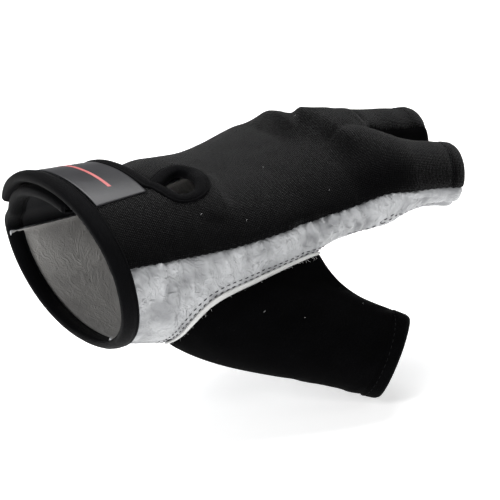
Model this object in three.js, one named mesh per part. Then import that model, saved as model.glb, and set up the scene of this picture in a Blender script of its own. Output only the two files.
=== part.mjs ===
// Half-finger training glove for a left hand, in the form that it has when it is worn.
// A neoprene back with a keyhole and a hook-and-loop tab, a leather palm and side, and a stretch thumb.
// Millimetres. +X runs along the hand to the fingertips, -Y is the thumb's side, +Z is out of the back
// of the hand. The origin is the centre of the wrist opening, where the hand goes in.
import * as THREE from 'three';

// Thicknesses and gaps
const backCloth = 1.8;
const leather = 1.3;
const thumbCloth = 1.5;
const sideCloth = 1.1; // the strips between the fingers
const tape = 0.7;
const labelSheet = 0.5;
const weltRadius = 0.9;
const gap = 0.3;
const tapeGap = 0.5; // between a sheet and the tape folded over it
const weltTurn = 3; // how many points of the hole's lower edge the welt takes in
const weltLift = 1.5; // from the corner of the seam to the welt's middle
const closureLow = -4; // the closure's underside, from the tab's outside

// Sections of the hand, from the wrist opening to the roots of the fingers
const handSections = [
  { x: 0, y: 0, z: 0, half: 36.1, back: 27.2, palm: 27.4 },
  { x: 30, y: -0.3, z: -2.1, half: 37.2, back: 24.4, palm: 31.6 },
  { x: 60, y: 0.7, z: -2.6, half: 39.7, back: 19.1, palm: 19.8 },
  { x: 88, y: 1.4, z: -1.4, half: 43.2, back: 20.4, palm: 15.0 },
  { x: 106, y: 1.4, z: 0, half: 43.2, back: 20.4, palm: 14.0 },
];
const squareness = 2.15; // the sections' exponent: 2 is an ellipse

// Fingers: the tube's centre at the knuckle, its yaw towards the little finger, its bend towards the
// palm, its half sizes at the root and at the rim, how far the rim is from the knuckle, how much
// further it reaches on the side of the little finger, and how high the web to each neighbour stands
const fingers = [
  { x: 86, y: -32.7, z: 7.6, yaw: -2, bend: 14.3, turn: 5.5, webIn: 0, webOut: 6,
    wide: 12.5, deep: 13.5, rimWide: 11.8, rimDeep: 10.7, rim: 37.9 },
  { x: 88, y: -7.2, z: 9.8, yaw: 2.6, bend: 9.8, turn: 2, webIn: 6, webOut: 0,
    wide: 12.4, deep: 14.4, rimWide: 11.8, rimDeep: 11.6, rim: 43.8 },
  { x: 86, y: 16.6, z: 6, yaw: 3.5, bend: 16, turn: 0, webIn: 0, webOut: 0,
    wide: 11.2, deep: 13, rimWide: 10.5, rimDeep: 10.8, rim: 43 },
  { x: 81, y: 36.6, z: 0, yaw: 6, bend: 24, turn: 0, webIn: 0, webOut: 0,
    wide: 9.9, deep: 12, rimWide: 9.3, rimDeep: 9.8, rim: 40 },
];

// The thumb sleeve's axis and half sizes, from inside its base to its rim
const thumbRings = [
  { x: 51, y: -35.5, z: -25.3, wide: 19, deep: 19 },
  { x: 71, y: -45, z: -39.7, wide: 15.4, deep: 14.4 },
  { x: 81, y: -50, z: -45.9, wide: 13.2, deep: 13.9 },
];

// Angles round the hand are in degrees: 0 at the thumb's side, 90 at the back, 180 at the outer side.
// The hole for the thumb: its upper edge from the wrist to the crotch, then its lower edge back
const holeUpper = [
  { x: 20.5, deg: -60 }, { x: 21.5, deg: -50 }, { x: 24, deg: -37.5 }, { x: 28.5, deg: -24.5 },
  { x: 35.5, deg: -19 }, { x: 47, deg: -19.8 }, { x: 58, deg: -23 }, { x: 64, deg: -25.7 },
  { x: 67, deg: -28.7 }, { x: 69.5, deg: -36 },
];
const holeLower = [
  { x: 20.5, deg: -60 }, { x: 22, deg: -70 }, { x: 26, deg: -77 }, { x: 35, deg: -80 }, { x: 47, deg: -76 },
  { x: 58, deg: -66 }, { x: 64, deg: -56 }, { x: 67, deg: -48 }, { x: 69.5, deg: -36 },
];
// The seam between the back and the leather, and the seam between the side and palm leathers
const sideSeam = [
  { x: 0, deg: 11 }, { x: 20, deg: 9.6 }, { x: 40, deg: 7.6 }, { x: 60, deg: 9 }, { x: 90, deg: 9.6 },
  { x: 104, deg: 9.6 },
];
const lowSeam = [
  { x: 0, deg: -60 }, { x: 20.5, deg: -60 }, { x: 69.5, deg: -36 }, { x: 74, deg: -30 }, { x: 79, deg: -27 },
  { x: 104, deg: -24 },
];
const outerSeam = 176;

// The keyhole: its edge on the thumb's side and on the outer side
const keyholeNear = [
  { x: 0, deg: 64 }, { x: 26, deg: 64 }, { x: 28.5, deg: 57.5 }, { x: 30, deg: 51.5 }, { x: 31.5, deg: 49.8 },
  { x: 34.5, deg: 50.6 }, { x: 37.5, deg: 54 }, { x: 40.2, deg: 61 }, { x: 42, deg: 72 },
];
const keyholeFar = [
  { x: 0, deg: 68 }, { x: 26, deg: 69.2 }, { x: 30, deg: 71 }, { x: 34.5, deg: 75.5 }, { x: 37.5, deg: 77.5 },
  { x: 40.2, deg: 77.3 }, { x: 42, deg: 72 },
];
const slitEnd = 42;
const tabEdge = 26; // the tab's width
const tabEnd = 148;
const raise = 0.5; // the tab's height over the line of the back
const cinch = 3.9; // how far the flap that the tab closes on lies under that line
const cuffLeg = 5; // how far the two tapes reach over the sheets
const keyholeLeg = 3.6;

// Where the hand turns into fingers
const spreadStart = 52; // the columns of the panels start to fan out to the fingers here
const knuckles = 84;
const crotch = 104;
const notch = 5; // the round bottom between two fingers
const splits = [61, 92, 122]; // where the fingers part on the back, and on the palm as -61 and so on
const stripTop = 38; // where a finger's side strip starts, over and under its side
const webStart = 4; // the web stands to here past the knuckle
const webLong = 24; // and it sinks into the fingers over this length
const webSharp = 3.5; // how narrow the web is round a finger
const rimSlant = 2.7; // the wrist rim leans, back edge towards the elbow
const seamTurn = [-10, -8]; // the side seam's angle on the index finger, at the knuckle and at the rim

// The knuckle of the middle finger and the main folds: ridges from one point to the other, or grooves
// where the height is negative
const folds = [
  { x: 84.5, deg: 96, toX: 107, toDeg: 88, width: 10, height: 5 },
  { x: 91.5, deg: 88, toX: 100, toDeg: 80, width: 5, height: 3.4 },
  { x: 42, deg: 66, toX: 38, toDeg: 30, width: 4.2, height: 0.9 },
  { x: 64, deg: 12, toX: 66, toDeg: -20, width: 3.2, height: -1.1 },
  { x: 71, deg: 12, toX: 76, toDeg: -22, width: 3.4, height: -0.8 },
  { x: 16, deg: 10, toX: 15, toDeg: -38, width: 3.6, height: 0.9 },
  { x: 90, deg: 60, toX: 104, toDeg: 58, width: 9, height: 3.5 },
];

// The grids' rows along the hand, and the columns of each finger's back and palm
const rows = [0, 5, 10, 15, 20.5, 22.4, 26, 28.5, 30, 31.5, 34.5, 37.5, 40.2, 42, 45.5, 50, 54.5, 59, 64,
  67, 69.5, 74, 79, 84, 89, 94, 99, 104];
const fingerRows = [0.06, 0.16, 0.32, 0.55, 0.78, 1];
const columnsBack = [6, 6, 5, 6];
const columnsPalm = [5, 5, 5, 6];
const columnsSide = 6;
const columnsStrip = 4;
const columnsTab = 11;
const slitColumn = 8;
const sleevePuff = 4; // how far the sleeve swells over the ball of the thumb
const sleeveTurn = 4.8; // how much further its rim reaches on the side that faces the palm
const sleeveNear = 165; // the angle of the rim's shortest side
const sleeveRows = [0.12, 0.27, 0.44, 0.62, 0.81, 1];

const rad = THREE.MathUtils.degToRad;
const mix = THREE.MathUtils.lerp;
const clamp = THREE.MathUtils.clamp;
const smooth = (t) => THREE.MathUtils.smoothstep(t, 0, 1);
const vector = (p) => new THREE.Vector3(p.x, p.y, p.z);
const sum = (list) => list.reduce((a, b) => a + b, 0);

// A value of a table at x: along a smooth curve through the rows, or straight from row to row
function curve(table, x, key) {
  const n = table.length;
  const i = clamp(table.findIndex((r) => r.x > x) - 1, x < table[0].x ? 0 : -2, n - 2);
  const k = i < 0 ? n - 2 : i;
  const slope = (q) => {
    const [a, b] = [table[Math.max(q - 1, 0)], table[Math.min(q + 1, n - 1)]];
    return (b[key] - a[key]) / (b.x - a.x);
  };
  const [a, b] = [table[k], table[k + 1]];
  const h = b.x - a.x;
  const t = (x - a.x) / h;
  return (2 * t ** 3 - 3 * t ** 2 + 1) * a[key] + (t ** 3 - 2 * t ** 2 + t) * h * slope(k)
    + (3 * t ** 2 - 2 * t ** 3) * b[key] + (t ** 3 - t ** 2) * h * slope(k + 1);
}
function straight(table, x) {
  const k = clamp(table.findIndex((r) => r.x >= x) - 1, 0, table.length - 2);
  const [a, b] = x > table.at(-1).x ? [table.at(-1), table.at(-1)] : [table[k], table[k + 1]];
  return a === b ? a.deg : mix(a.deg, b.deg, clamp((x - a.x) / (b.x - a.x), 0, 1));
}

// How far the folds lift the sheet
function foldLift(x, deg) {
  const mmPerDegree = 0.62;
  return sum(folds.map((f) => {
    const [ux, uy] = [f.toX - f.x, (f.toDeg - f.deg) * mmPerDegree];
    const [px, py] = [x - f.x, (deg - f.deg) * mmPerDegree];
    const long = Math.hypot(ux, uy);
    const s = (px * ux + py * uy) / long ** 2;
    const off = (px * uy - py * ux) / long;
    const fade = smooth((s + 0.15) / 0.3) * smooth((1.15 - s) / 0.3);
    return f.height * fade * Math.exp(-((off / f.width) ** 2));
  }));
}

// How far a layer lies outside the form: the tab and its root rise over the flap that it closes on
function layerLift(layer, x, deg) {
  const near = 1 - smooth((x - tabEdge) / (slitEnd - tabEdge));
  if (layer === 'tab') return raise * near * smooth((deg - 34) / 26);
  if (layer === 'flap') return -cinch * near * (1 - smooth((deg - tabEnd - 3) / 22));
  return 0;
}

// A point on the outside of the hand's form
function hand(x, deg, layer = '') {
  const [c, v] = [Math.cos(rad(deg)), Math.sin(rad(deg))];
  const at = (key) => curve(handSections, x, key);
  const round = (q) => Math.sign(q) * Math.abs(q) ** (2 / squareness);
  const lift = layerLift(layer, x, deg) + foldLift(x, deg);
  return new THREE.Vector3(
    x - rimSlant * v * (1 - smooth(x / 45)),
    at('y') - (at('half') + lift) * round(c),
    at('z') + ((v > 0 ? at('back') : at('palm')) + lift) * round(v),
  );
}

// A point on a finger's tube. x runs on from the hand, and the angle turns as it does on the hand
const webAt = (deg, middle) => Math.exp(webSharp * (Math.cos(rad(deg - middle)) - 1));

function finger(f, x, deg) {
  const [yaw, bend] = [rad(f.yaw), rad(f.bend)];
  const even = (x - f.x) / Math.cos(bend);
  const s = even + f.turn * (1 - Math.cos(rad(deg))) / 2 * clamp((even - 15) / (f.rim - 15), 0, 1) ** 2;
  const web = (f.webIn * webAt(deg, stripTop) + f.webOut * webAt(deg, 180 - stripTop))
    * (1 - smooth((s - webStart) / webLong));
  const wide = new THREE.Vector3(-Math.sin(yaw), Math.cos(yaw), 0);
  const flat = new THREE.Vector3(Math.cos(yaw), Math.sin(yaw), 0);
  const forward = flat.clone().multiplyScalar(Math.cos(bend)).setZ(-Math.sin(bend));
  const up = flat.clone().multiplyScalar(Math.sin(bend)).setZ(Math.cos(bend));
  return vector(f)
    .addScaledVector(forward, s)
    .addScaledVector(wide, -Math.cos(rad(deg)) * mix(f.wide, f.rimWide, s / f.rim))
    .addScaledVector(up, Math.sin(rad(deg)) * mix(f.deep, f.rimDeep, s / f.rim) + web);
}
const rimX = (f) => f.x + f.rim * Math.cos(rad(f.bend));

// The skin from the hand into a finger, with no regard to the finger's neighbours
function skin(k, x, handDeg, fingerDeg, layer) {
  const share = smooth((x - knuckles) / (crotch - knuckles));
  const p = share < 1 ? hand(x, handDeg, layer) : new THREE.Vector3();
  return share > 0 ? p.lerp(finger(fingers[k], x, fingerDeg), share) : p;
}

// Up to the crotch two neighbours meet halfway, and beyond it they part in a round notch
function meet(k, x, handDeg, degHere, degNext) {
  const open = Math.sqrt(1 - (1 - clamp((x - crotch) / notch, 0, 1)) ** 2);
  const here = skin(k, x, handDeg, degHere);
  const next = skin(k + 1, x, handDeg, degNext);
  return next.sub(here).multiplyScalar((1 - open) / 2);
}

// A sheet that covers the fingers' backs or palms. t runs over finger k from the thumb's side on
function fan(k, t, x, handDeg, side, layer) {
  const seam = mix(...seamTurn, clamp((x - fingers[0].x) / fingers[0].rim, 0, 1));
  const first = k === 0 ? (side > 0 ? seam : -stripTop) : side * stripTop;
  const last = k === 3 ? (side > 0 ? outerSeam : outerSeam - 360) : side * (180 - stripTop);
  const p = skin(k, x, handDeg, mix(first, last, t), layer);
  const turn = side * stripTop;
  const reach = (q) => clamp(1 - q / 0.4, 0, 1) ** 2;
  const parting = (q) => meet(q, x, side * splits[q], side * 180 - turn, turn);
  if (k < 3) p.addScaledVector(parting(k), reach(1 - t));
  if (k > 0) p.addScaledVector(parting(k - 1), -reach(t));
  return p;
}

// The column j of a panel as a finger and a place across it
function place(columns, j) {
  let k = 0;
  let rest = j;
  while (k < columns.length - 1 && rest > columns[k]) {
    rest -= columns[k];
    k += 1;
  }
  return { k, t: rest / columns[k] };
}

// The angle of a column on the hand: even between the panel's edges, then fanned out to the fingers
function columnDeg(edges, columns, x, j, even) {
  const { k, t } = place(columns, j);
  return mix(even, mix(edges[k], edges[k + 1], t), smooth((x - spreadStart) / (knuckles - spreadStart)));
}
const countBack = sum(columnsBack);
const countPalm = sum(columnsPalm);
function backPoint(x, j, layer) {
  const seam = curve(sideSeam, x, 'deg');
  const near = straight(keyholeNear, x);
  const far = straight(keyholeFar, x);
  const even = layer === 'tab' ? mix(seam, near, j / slitColumn)
    : mix(far, outerSeam, (j - slitColumn) / (countBack - slitColumn));
  const { k, t } = place(columnsBack, j);
  const edges = [seam, ...splits, outerSeam];
  return fan(k, t, x, columnDeg(edges, columnsBack, x, j, even), 1, layer);
}
const inHole = (x) => x >= holeUpper[0].x && x <= holeUpper.at(-1).x;
const edgeUpper = (x) => (inHole(x) ? straight(holeUpper, x) : straight(lowSeam, x));
const edgeLower = (x) => (inHole(x) ? straight(holeLower, x) : straight(lowSeam, x));
function palmPoint(x, j) {
  const even = mix(edgeLower(x), outerSeam - 360, j / countPalm);
  const { k, t } = place(columnsPalm, j);
  const edges = [edgeLower(x), ...splits.map((q) => -q), outerSeam - 360];
  return fan(k, t, x, columnDeg(edges, columnsPalm, x, j, even), -1);
}
function sidePoint(x, j) {
  const t = j / columnsSide;
  const seam = mix(...seamTurn, clamp((x - fingers[0].x) / fingers[0].rim, 0, 1));
  return skin(0, x, mix(curve(sideSeam, x, 'deg'), edgeUpper(x), t), mix(seam, -stripTop, t));
}

// The thumb's sleeve: each line runs from the hole's edge through the rings to the rim
const axis = vector(thumbRings[2]).sub(vector(thumbRings[0])).normalize();
const across = new THREE.Vector3(0, 0, 1).cross(axis).normalize();
const over = axis.clone().cross(across);
function sleevePoint(edge, t) {
  const arm = edge.clone().sub(vector(thumbRings[0]));
  const turn = Math.atan2(arm.dot(over), arm.dot(across));
  const ring = (r) => vector(r)
    .addScaledVector(across, r.wide * Math.cos(turn))
    .addScaledVector(over, r.deep * Math.sin(turn));
  const [a, b, c] = [edge.clone(), ring(thumbRings[1]), ring(thumbRings[2])];
  const m = 0.64;
  const puff = sleevePuff * 12 * t * (1 - t) ** 4 * Math.max(-Math.sin(turn), 0);
  return a.multiplyScalar((t - m) * (t - 1) / m)
    .addScaledVector(b, t * (t - 1) / (m * (m - 1)))
    .addScaledVector(c, t * (t - m) / (1 - m))
    .addScaledVector(over, -puff)
    .addScaledVector(axis, sleeveTurn * (1 - Math.cos(turn - rad(sleeveNear))) / 2 * t ** 4);
}

// All panels draw on one pool of points, so that neighbours share their edges and their normals
const pool = new Map();
const panels = {};
function pointIn(p) {
  const key = p.toArray().map((q) => Math.round(q * 500)).join();
  if (!pool.has(key)) pool.set(key, { p, n: new THREE.Vector3(), order: pool.size });
  return pool.get(key);
}
function addGrid(name, grid, { flip = false, closed = false } = {}) {
  panels[name] = panels[name] || [];
  for (let i = 0; i + 1 < grid.length; i += 1) {
    const m = grid[i].length;
    for (let j = 0; j + (closed ? 0 : 1) < m; j += 1) {
      const k = (j + 1) % m;
      const quad = [grid[i][j], grid[i + 1][j], grid[i + 1][k], grid[i][k]];
      panels[name].push(flip ? quad.reverse() : quad);
    }
  }
}
const gridOf = (xs, js, at) => xs.map((x) => js.map((j) => pointIn(at(x, j))));
const range = (a, b) => Array.from({ length: b - a + 1 }, (_, i) => a + i);
const bodyRows = (from, to) => rows.filter((x) => x >= from && x <= to);
const rowsPast = (f) => [crotch, ...fingerRows.map((t) => mix(crotch, rimX(f), t))];

// The back: the part by the thumb, the flap under the tab, the joined sheet, the fingers and the tab
addGrid('back_panel', gridOf(bodyRows(0, slitEnd), range(0, slitColumn), (x, j) => backPoint(x, j, 'tab')));
addGrid('back_panel', gridOf(bodyRows(0, slitEnd), range(slitColumn, countBack), (x, j) => (
  backPoint(x, j, 'flap'))));
addGrid('back_panel', gridOf(bodyRows(slitEnd, crotch), range(0, countBack), (x, j) => (
  backPoint(x, j, j <= slitColumn ? 'tab' : 'flap'))));
const tabDeg = (j) => mix(keyholeNear[0].deg, tabEnd, j / columnsTab);
addGrid('back_panel', gridOf(bodyRows(0, tabEdge), range(0, columnsTab), (x, j) => (
  hand(x, tabDeg(j), 'tab'))));
const flip = { flip: true };
addGrid('palm_panel', gridOf(bodyRows(0, crotch), range(0, countPalm), palmPoint), flip);
addGrid('side_panel', gridOf(bodyRows(0, crotch), range(0, columnsSide), sidePoint), flip);
addGrid('side_panel', gridOf(rowsPast(fingers[0]), range(0, columnsSide), sidePoint), flip);
fingers.forEach((f, k) => {
  const [back, palm] = [columnsBack[k], columnsPalm[k]];
  addGrid('back_panel', gridOf(rowsPast(f), range(0, back), (x, j) => fan(k, j / back, x, 0, 1)));
  addGrid('palm_panel', gridOf(rowsPast(f), range(0, palm), (x, j) => fan(k, j / palm, x, 0, -1)), flip);
});

// The strips between the fingers: out from one rim to the crotch and on to the next rim
['strip_index_middle', 'strip_middle_ring', 'strip_ring_little'].forEach((name, k) => {
  const down = rowsPast(fingers[k]).reverse().map((x) => ({ x, own: k }));
  const up = rowsPast(fingers[k + 1]).slice(1).map((x) => ({ x, own: k + 1 }));
  addGrid(name, [...down, ...up].map(({ x, own }) => range(0, columnsStrip).map((j) => {
    const turn = mix(stripTop, -stripTop, j / columnsStrip);
    const p = finger(fingers[own], x, own === k ? 180 - turn : turn);
    return pointIn(p.addScaledVector(meet(k, x, 0, 180 - turn, turn), own === k ? 1 : -1));
  })), flip);
});

// The sleeve of the thumb, from the edge of its hole
const holeRows = rows.filter(inHole);
const holeEdge = [
  ...holeRows.map((x) => ({ x, deg: edgeUpper(x) })),
  ...holeRows.slice(1, -1).reverse().map((x) => ({ x, deg: edgeLower(x) })),
].map((q) => pointIn(skin(0, q.x, q.deg, 0)));
const sleeve = sleeveRows.map((t) => holeEdge.map((e) => pointIn(sleevePoint(e.p, t))));
addGrid('thumb_sleeve', [holeEdge, ...sleeve], { closed: true });

// Each point's normal is shared by all the panels that meet at it
const facing = ([a, b, c, d]) => c.p.clone().sub(a.p).cross(d.p.clone().sub(b.p));
Object.values(panels).flat().forEach((quad) => quad.forEach((q) => q.n.add(facing(quad))));
pool.forEach((q) => q.n.normalize());

// A closed mesh from points and faces, each face a list of indices that runs round it
function solid(name, points, faces, colour, roughness) {
  const geometry = new THREE.BufferGeometry();
  geometry.setAttribute('position', new THREE.Float32BufferAttribute(points.flatMap((p) => p.toArray()), 3));
  geometry.setIndex(faces.flatMap((f) => range(1, f.length - 2).flatMap((i) => [f[0], f[i], f[i + 1]])));
  const flat = geometry.toNonIndexed();
  flat.computeVertexNormals();
  const material = new THREE.MeshStandardMaterial({ color: colour, roughness, metalness: 0 });
  const mesh = new THREE.Mesh(flat, material);
  mesh.name = name;
  return mesh;
}

// A sheet of a panel's quads with a thickness under them. Its edge is drawn in by half the gap
function sheet(name, thickness, colour, roughness) {
  const quads = panels[name];
  const points = [...new Set(quads.flat())];
  const index = new Map(points.map((q, i) => [q, i]));
  const own = points.map(() => new THREE.Vector3());
  const edges = new Map();
  quads.forEach((quad) => {
    const n = facing(quad);
    quad.forEach((q, i) => {
      const next = quad[(i + 1) % 4];
      own[index.get(q)].add(n);
      edges.set(`${index.get(q)} ${index.get(next)}`, { from: index.get(q), to: index.get(next), n });
    });
  });
  const border = [...edges.values()].filter((e) => !edges.has(`${e.to} ${e.from}`));
  const inward = points.map(() => []);
  border.forEach(({ from, to, n }) => {
    const g = n.clone().cross(points[to].p.clone().sub(points[from].p)).normalize();
    inward[from].push(g);
    inward[to].push(g);
  });
  const outer = points.map((q, i) => {
    const [g, h] = inward[i];
    if (!h) return q.p.clone();
    return q.p.clone().addScaledVector(g.clone().add(h), gap / 2 / Math.max(1 + g.dot(h), 0.5));
  });
  const inner = outer.map((p, i) => {
    const square = Math.max(points[i].n.dot(own[i].normalize()), 0.65);
    return p.clone().addScaledVector(points[i].n, -thickness / square);
  });
  const m = points.length;
  const faces = quads.flatMap((quad) => {
    const f = quad.map((q) => index.get(q));
    return [f, [f[0], f[3], f[2], f[1]].map((q) => q + m)];
  });
  const order = (q) => points[q].order;
  border.forEach(({ from, to }) => faces.push(order(from) < order(to)
    ? [from, from + m, to + m, to] : [to, from, from + m, to + m]));
  return solid(name, [...outer, ...inner], faces, colour, roughness);
}

// A solid through a row of sections, each a ring of points that runs against the way of travel
function swept(name, sections, colour, roughness) {
  const m = sections[0].length;
  const faces = [range(0, m - 1).reverse(), range(0, m - 1).map((q) => q + m * (sections.length - 1))];
  range(0, sections.length - 2).forEach((i) => range(0, m - 1).forEach((j) => {
    const [a, b] = [i * m + j, i * m + ((j + 1) % m)];
    faces.push([a, b, b + m, a + m]);
  }));
  return solid(name, sections.flat(), faces, colour, roughness);
}

// The normal of the hand's form
function handNormal(x, deg, layer) {
  const step = 0.4;
  const dx = hand(x + step, deg, layer).sub(hand(x - step, deg, layer));
  const dy = hand(x, deg + step, layer).sub(hand(x, deg - step, layer));
  return dx.cross(dy).normalize();
}

// A binding tape, folded over the edge of a sheet. The path has the edge's places on the form, with
// the sheet on its left, flow is the angle where the path has run on past the outer side, and leg is
// how far the tape reaches over the sheet
function binding(name, path, leg, colour) {
  const mm = path.map((q) => [q.x, (q.flow ?? q.deg) * rad(33)]);
  const sections = path.map((q, i) => {
    const way = (a, b) => new THREE.Vector2(mm[b][0] - mm[a][0], mm[b][1] - mm[a][1]).normalize();
    const last = path.length - 1;
    const u = way(Math.max(i - 1, 0), Math.max(i, 1));
    const v = way(Math.min(i, last - 1), Math.min(i + 1, last));
    const turn = u.clone().add(v).normalize();
    const reach = leg / Math.max(turn.dot(u), 0.85);
    const [x, deg] = [q.x - turn.y * reach, q.deg + (turn.x * reach) / rad(33)];
    const [e, n] = [hand(q.x, q.deg, q.layer), handNormal(q.x, q.deg, q.layer)];
    const [m, k] = [hand(x, deg, q.layer), handNormal(x, deg, q.layer)];
    const out = e.clone().sub(m);
    out.addScaledVector(n, -out.dot(n)).normalize();
    const at = (p, normal, up, away) => p.clone().addScaledVector(normal, up).addScaledVector(out, away);
    const h = q.sheet;
    const [outside, edge] = [tapeGap + tape, tapeGap + 0.6 * tape];
    return [
      at(m, k, outside, 0), at(e, n, edge, outside), at(e, n, -h - edge, outside), at(m, k, -h - outside, 0),
      at(m, k, -h - tapeGap, 0), at(e, n, -h - tapeGap, gap), at(e, n, tapeGap, gap), at(m, k, tapeGap, 0),
    ];
  });
  return swept(name, sections, colour, 0.75);
}

// A flat patch on a layer of the hand, between two heights over it
function patch(name, xs, degs, layer, low, high, colour, roughness) {
  const sections = degs.map((deg) => [...xs.map((x) => [x, high]), ...xs.map((x) => [x, low]).reverse()]
    .map(([x, lift]) => hand(x, deg, layer).addScaledVector(handNormal(x, deg, layer), lift)));
  return swept(name, sections, colour, roughness);
}

const steps = (from, to, n) => range(0, n).map((i) => mix(from, to, i / n));
const black = '#1b1b1d';
const white = '#c9ccd2';

// The cuff's tape, from the tab's end over the thumb's side and the palm to the flap's corner
const cuffPath = [
  ...steps(tabEnd + 1.5, sideSeam[0].deg, 17).map((deg) => ({ x: 0, deg, layer: 'tab', sheet: backCloth })),
  ...steps(sideSeam[0].deg, outerSeam - 360, 23).slice(1, -1).map((deg) => ({ x: 0, deg, sheet: leather })),
  ...steps(outerSeam - 360, keyholeFar[0].deg - 362, 14).map((deg) => (
    { x: 0, deg: deg + 360, flow: deg, layer: 'flap', sheet: backCloth })),
];

// The tape that runs up the flap's edge, round the keyhole, along the tab and down its end
const edgeRows = rows.filter((x) => x > cuffLeg + 1 && x < tabEdge);
const keyholePath = [
  ...[cuffLeg + 0.4, ...edgeRows].map((x) => ({ x, deg: straight(keyholeFar, x), layer: 'flap' })),
  ...keyholeFar.slice(1, -1).map((q) => ({ ...q, layer: 'flap' })),
  ...keyholeNear.slice(2).reverse().map((q) => ({ ...q, layer: 'tab' })),
  ...steps(keyholeNear[0].deg, tabEnd, columnsTab).map((deg) => ({ x: tabEdge, deg, layer: 'tab' })),
  ...[...edgeRows.reverse(), cuffLeg + 0.4].map((x) => ({ x, deg: tabEnd, layer: 'tab' })),
].map((q) => ({ ...q, sheet: backCloth }));

// The welt: a cord that lies in the corner between the leather and the sleeve, open at the crotch
const weltPath = [...holeEdge.slice(-weltTurn), ...holeEdge.slice(0, holeRows.length - 1)];
const weltSections = weltPath.map((q, i) => {
  const [a, b] = [weltPath[Math.max(i - 1, 0)], weltPath[Math.min(i + 1, weltPath.length - 1)]];
  const way = b.p.clone().sub(a.p).normalize();
  const side = q.n.clone().cross(way).normalize();
  const up = way.clone().cross(side);
  return range(0, 5).map((k) => q.p.clone()
    .addScaledVector(q.n, weltLift)
    .addScaledVector(side, weltRadius * Math.cos(rad(60 * k)))
    .addScaledVector(up, weltRadius * Math.sin(rad(60 * k))));
});

const glove = new THREE.Group();
glove.add(
  sheet('back_panel', backCloth, black, 0.85),
  sheet('side_panel', leather, white, 0.5),
  sheet('palm_panel', leather, white, 0.5),
  sheet('thumb_sleeve', thumbCloth, black, 0.8),
  sheet('strip_index_middle', sideCloth, black, 0.8),
  sheet('strip_middle_ring', sideCloth, black, 0.8),
  sheet('strip_ring_little', sideCloth, black, 0.8),
  binding('cuff_tape', cuffPath, cuffLeg, black),
  binding('keyhole_tape', keyholePath, keyholeLeg, black),
  swept('thumb_welt', weltSections, white, 0.7),
  patch('label_patch', [6, 13.3, 20.6], steps(54, 138, 9), 'tab', gap, gap + labelSheet, '#4a4b50', 0.6),
  patch('closure_patch', [6.4, 13, 19.8], steps(88, 138, 6), 'tab', closureLow, -backCloth - gap, black, 0.9),
);
export default glove;
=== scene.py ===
# Half-finger training glove for a left hand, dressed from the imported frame.
# Shapes are worked out in millimetres, and turned into metres when a mesh is made.
import math

import bpy
import numpy as np
from mathutils import Matrix, Vector
from mathutils.bvhtree import BVHTree
from mathutils.kdtree import KDTree


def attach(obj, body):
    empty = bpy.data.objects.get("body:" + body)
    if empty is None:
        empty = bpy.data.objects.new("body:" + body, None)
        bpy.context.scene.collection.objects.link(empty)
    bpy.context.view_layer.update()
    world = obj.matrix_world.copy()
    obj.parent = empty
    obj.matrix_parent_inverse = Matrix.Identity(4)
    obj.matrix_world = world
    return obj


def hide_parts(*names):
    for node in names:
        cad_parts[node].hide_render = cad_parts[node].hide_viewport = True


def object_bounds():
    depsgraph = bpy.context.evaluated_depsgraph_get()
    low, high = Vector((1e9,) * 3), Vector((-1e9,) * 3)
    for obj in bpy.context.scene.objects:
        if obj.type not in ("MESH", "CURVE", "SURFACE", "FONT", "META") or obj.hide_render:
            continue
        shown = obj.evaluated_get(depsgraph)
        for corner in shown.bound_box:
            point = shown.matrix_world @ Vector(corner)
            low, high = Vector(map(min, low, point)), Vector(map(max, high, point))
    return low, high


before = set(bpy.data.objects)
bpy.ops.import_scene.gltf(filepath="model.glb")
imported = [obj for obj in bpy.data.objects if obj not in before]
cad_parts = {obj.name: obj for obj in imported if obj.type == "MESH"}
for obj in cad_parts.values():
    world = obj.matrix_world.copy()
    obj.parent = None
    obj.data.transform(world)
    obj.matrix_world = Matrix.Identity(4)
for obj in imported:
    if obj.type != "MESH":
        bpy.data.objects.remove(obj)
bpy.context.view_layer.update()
print("frame loaded")


def readTable(names, rows):
    return dict(zip(names.split(), np.array(rows, float).T))


# The glove's form. Angles run round the hand: 0 thumb side, 90 back, 180 outer side, -90 palm
form = {
    "sections": readTable("x y z half back palm", [
        (0, 0, 0, 36.1, 27.2, 27.4),
        (30, -0.3, -2.1, 37.2, 24.4, 31.6),
        (60, 0.7, -2.6, 39.7, 19.1, 19.8),
        (88, 1.4, -1.4, 43.2, 20.4, 15.0),
        (106, 1.4, 0, 43.2, 20.4, 14.0),
    ]),
    "squareness": 2.15,
    "fingers": readTable("x y z yaw bend wide deep rimWide rimDeep rim turn webIn webOut", [
        (86, -32.7, 7.6, -2, 14.3, 12.5, 13.5, 11.8, 10.7, 37.9, 5.5, 0, 6),
        (88, -7.2, 9.8, 2.6, 9.8, 12.4, 14.4, 11.8, 11.6, 43.8, 2, 6, 0),
        (86, 16.6, 6, 3.5, 16, 11.2, 13, 10.5, 10.8, 43, 0, 0, 0),
        (81, 36.6, 0, 6, 24, 9.9, 12, 9.3, 9.8, 40, 0, 0, 0),
    ]),
    "web": (4, 24, 3.5),
    "thumb": readTable("x y z wide deep", [
        (51, -35.5, -25.3, 19, 19),
        (71, -45, -39.7, 15.4, 14.4),
        (81, -50, -45.9, 13.2, 13.9),
    ]),
    "sleevePuff": 4,
    "sleeveTurn": (4.8, 165),
    "spreadStart": 52,
    "knuckles": 84,
    "crotch": 104,
    "notch": 5,
    "splits": (61, 92, 122),
    "stripTop": 38,
    "lowTurn": -58,
    "rimSlant": 2.7,
    "seamTurn": (-10, -8),
    "outerSeam": 176,
    "mmPerDegree": 0.6,
    "foldMmPerDegree": 0.62,
}
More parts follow.
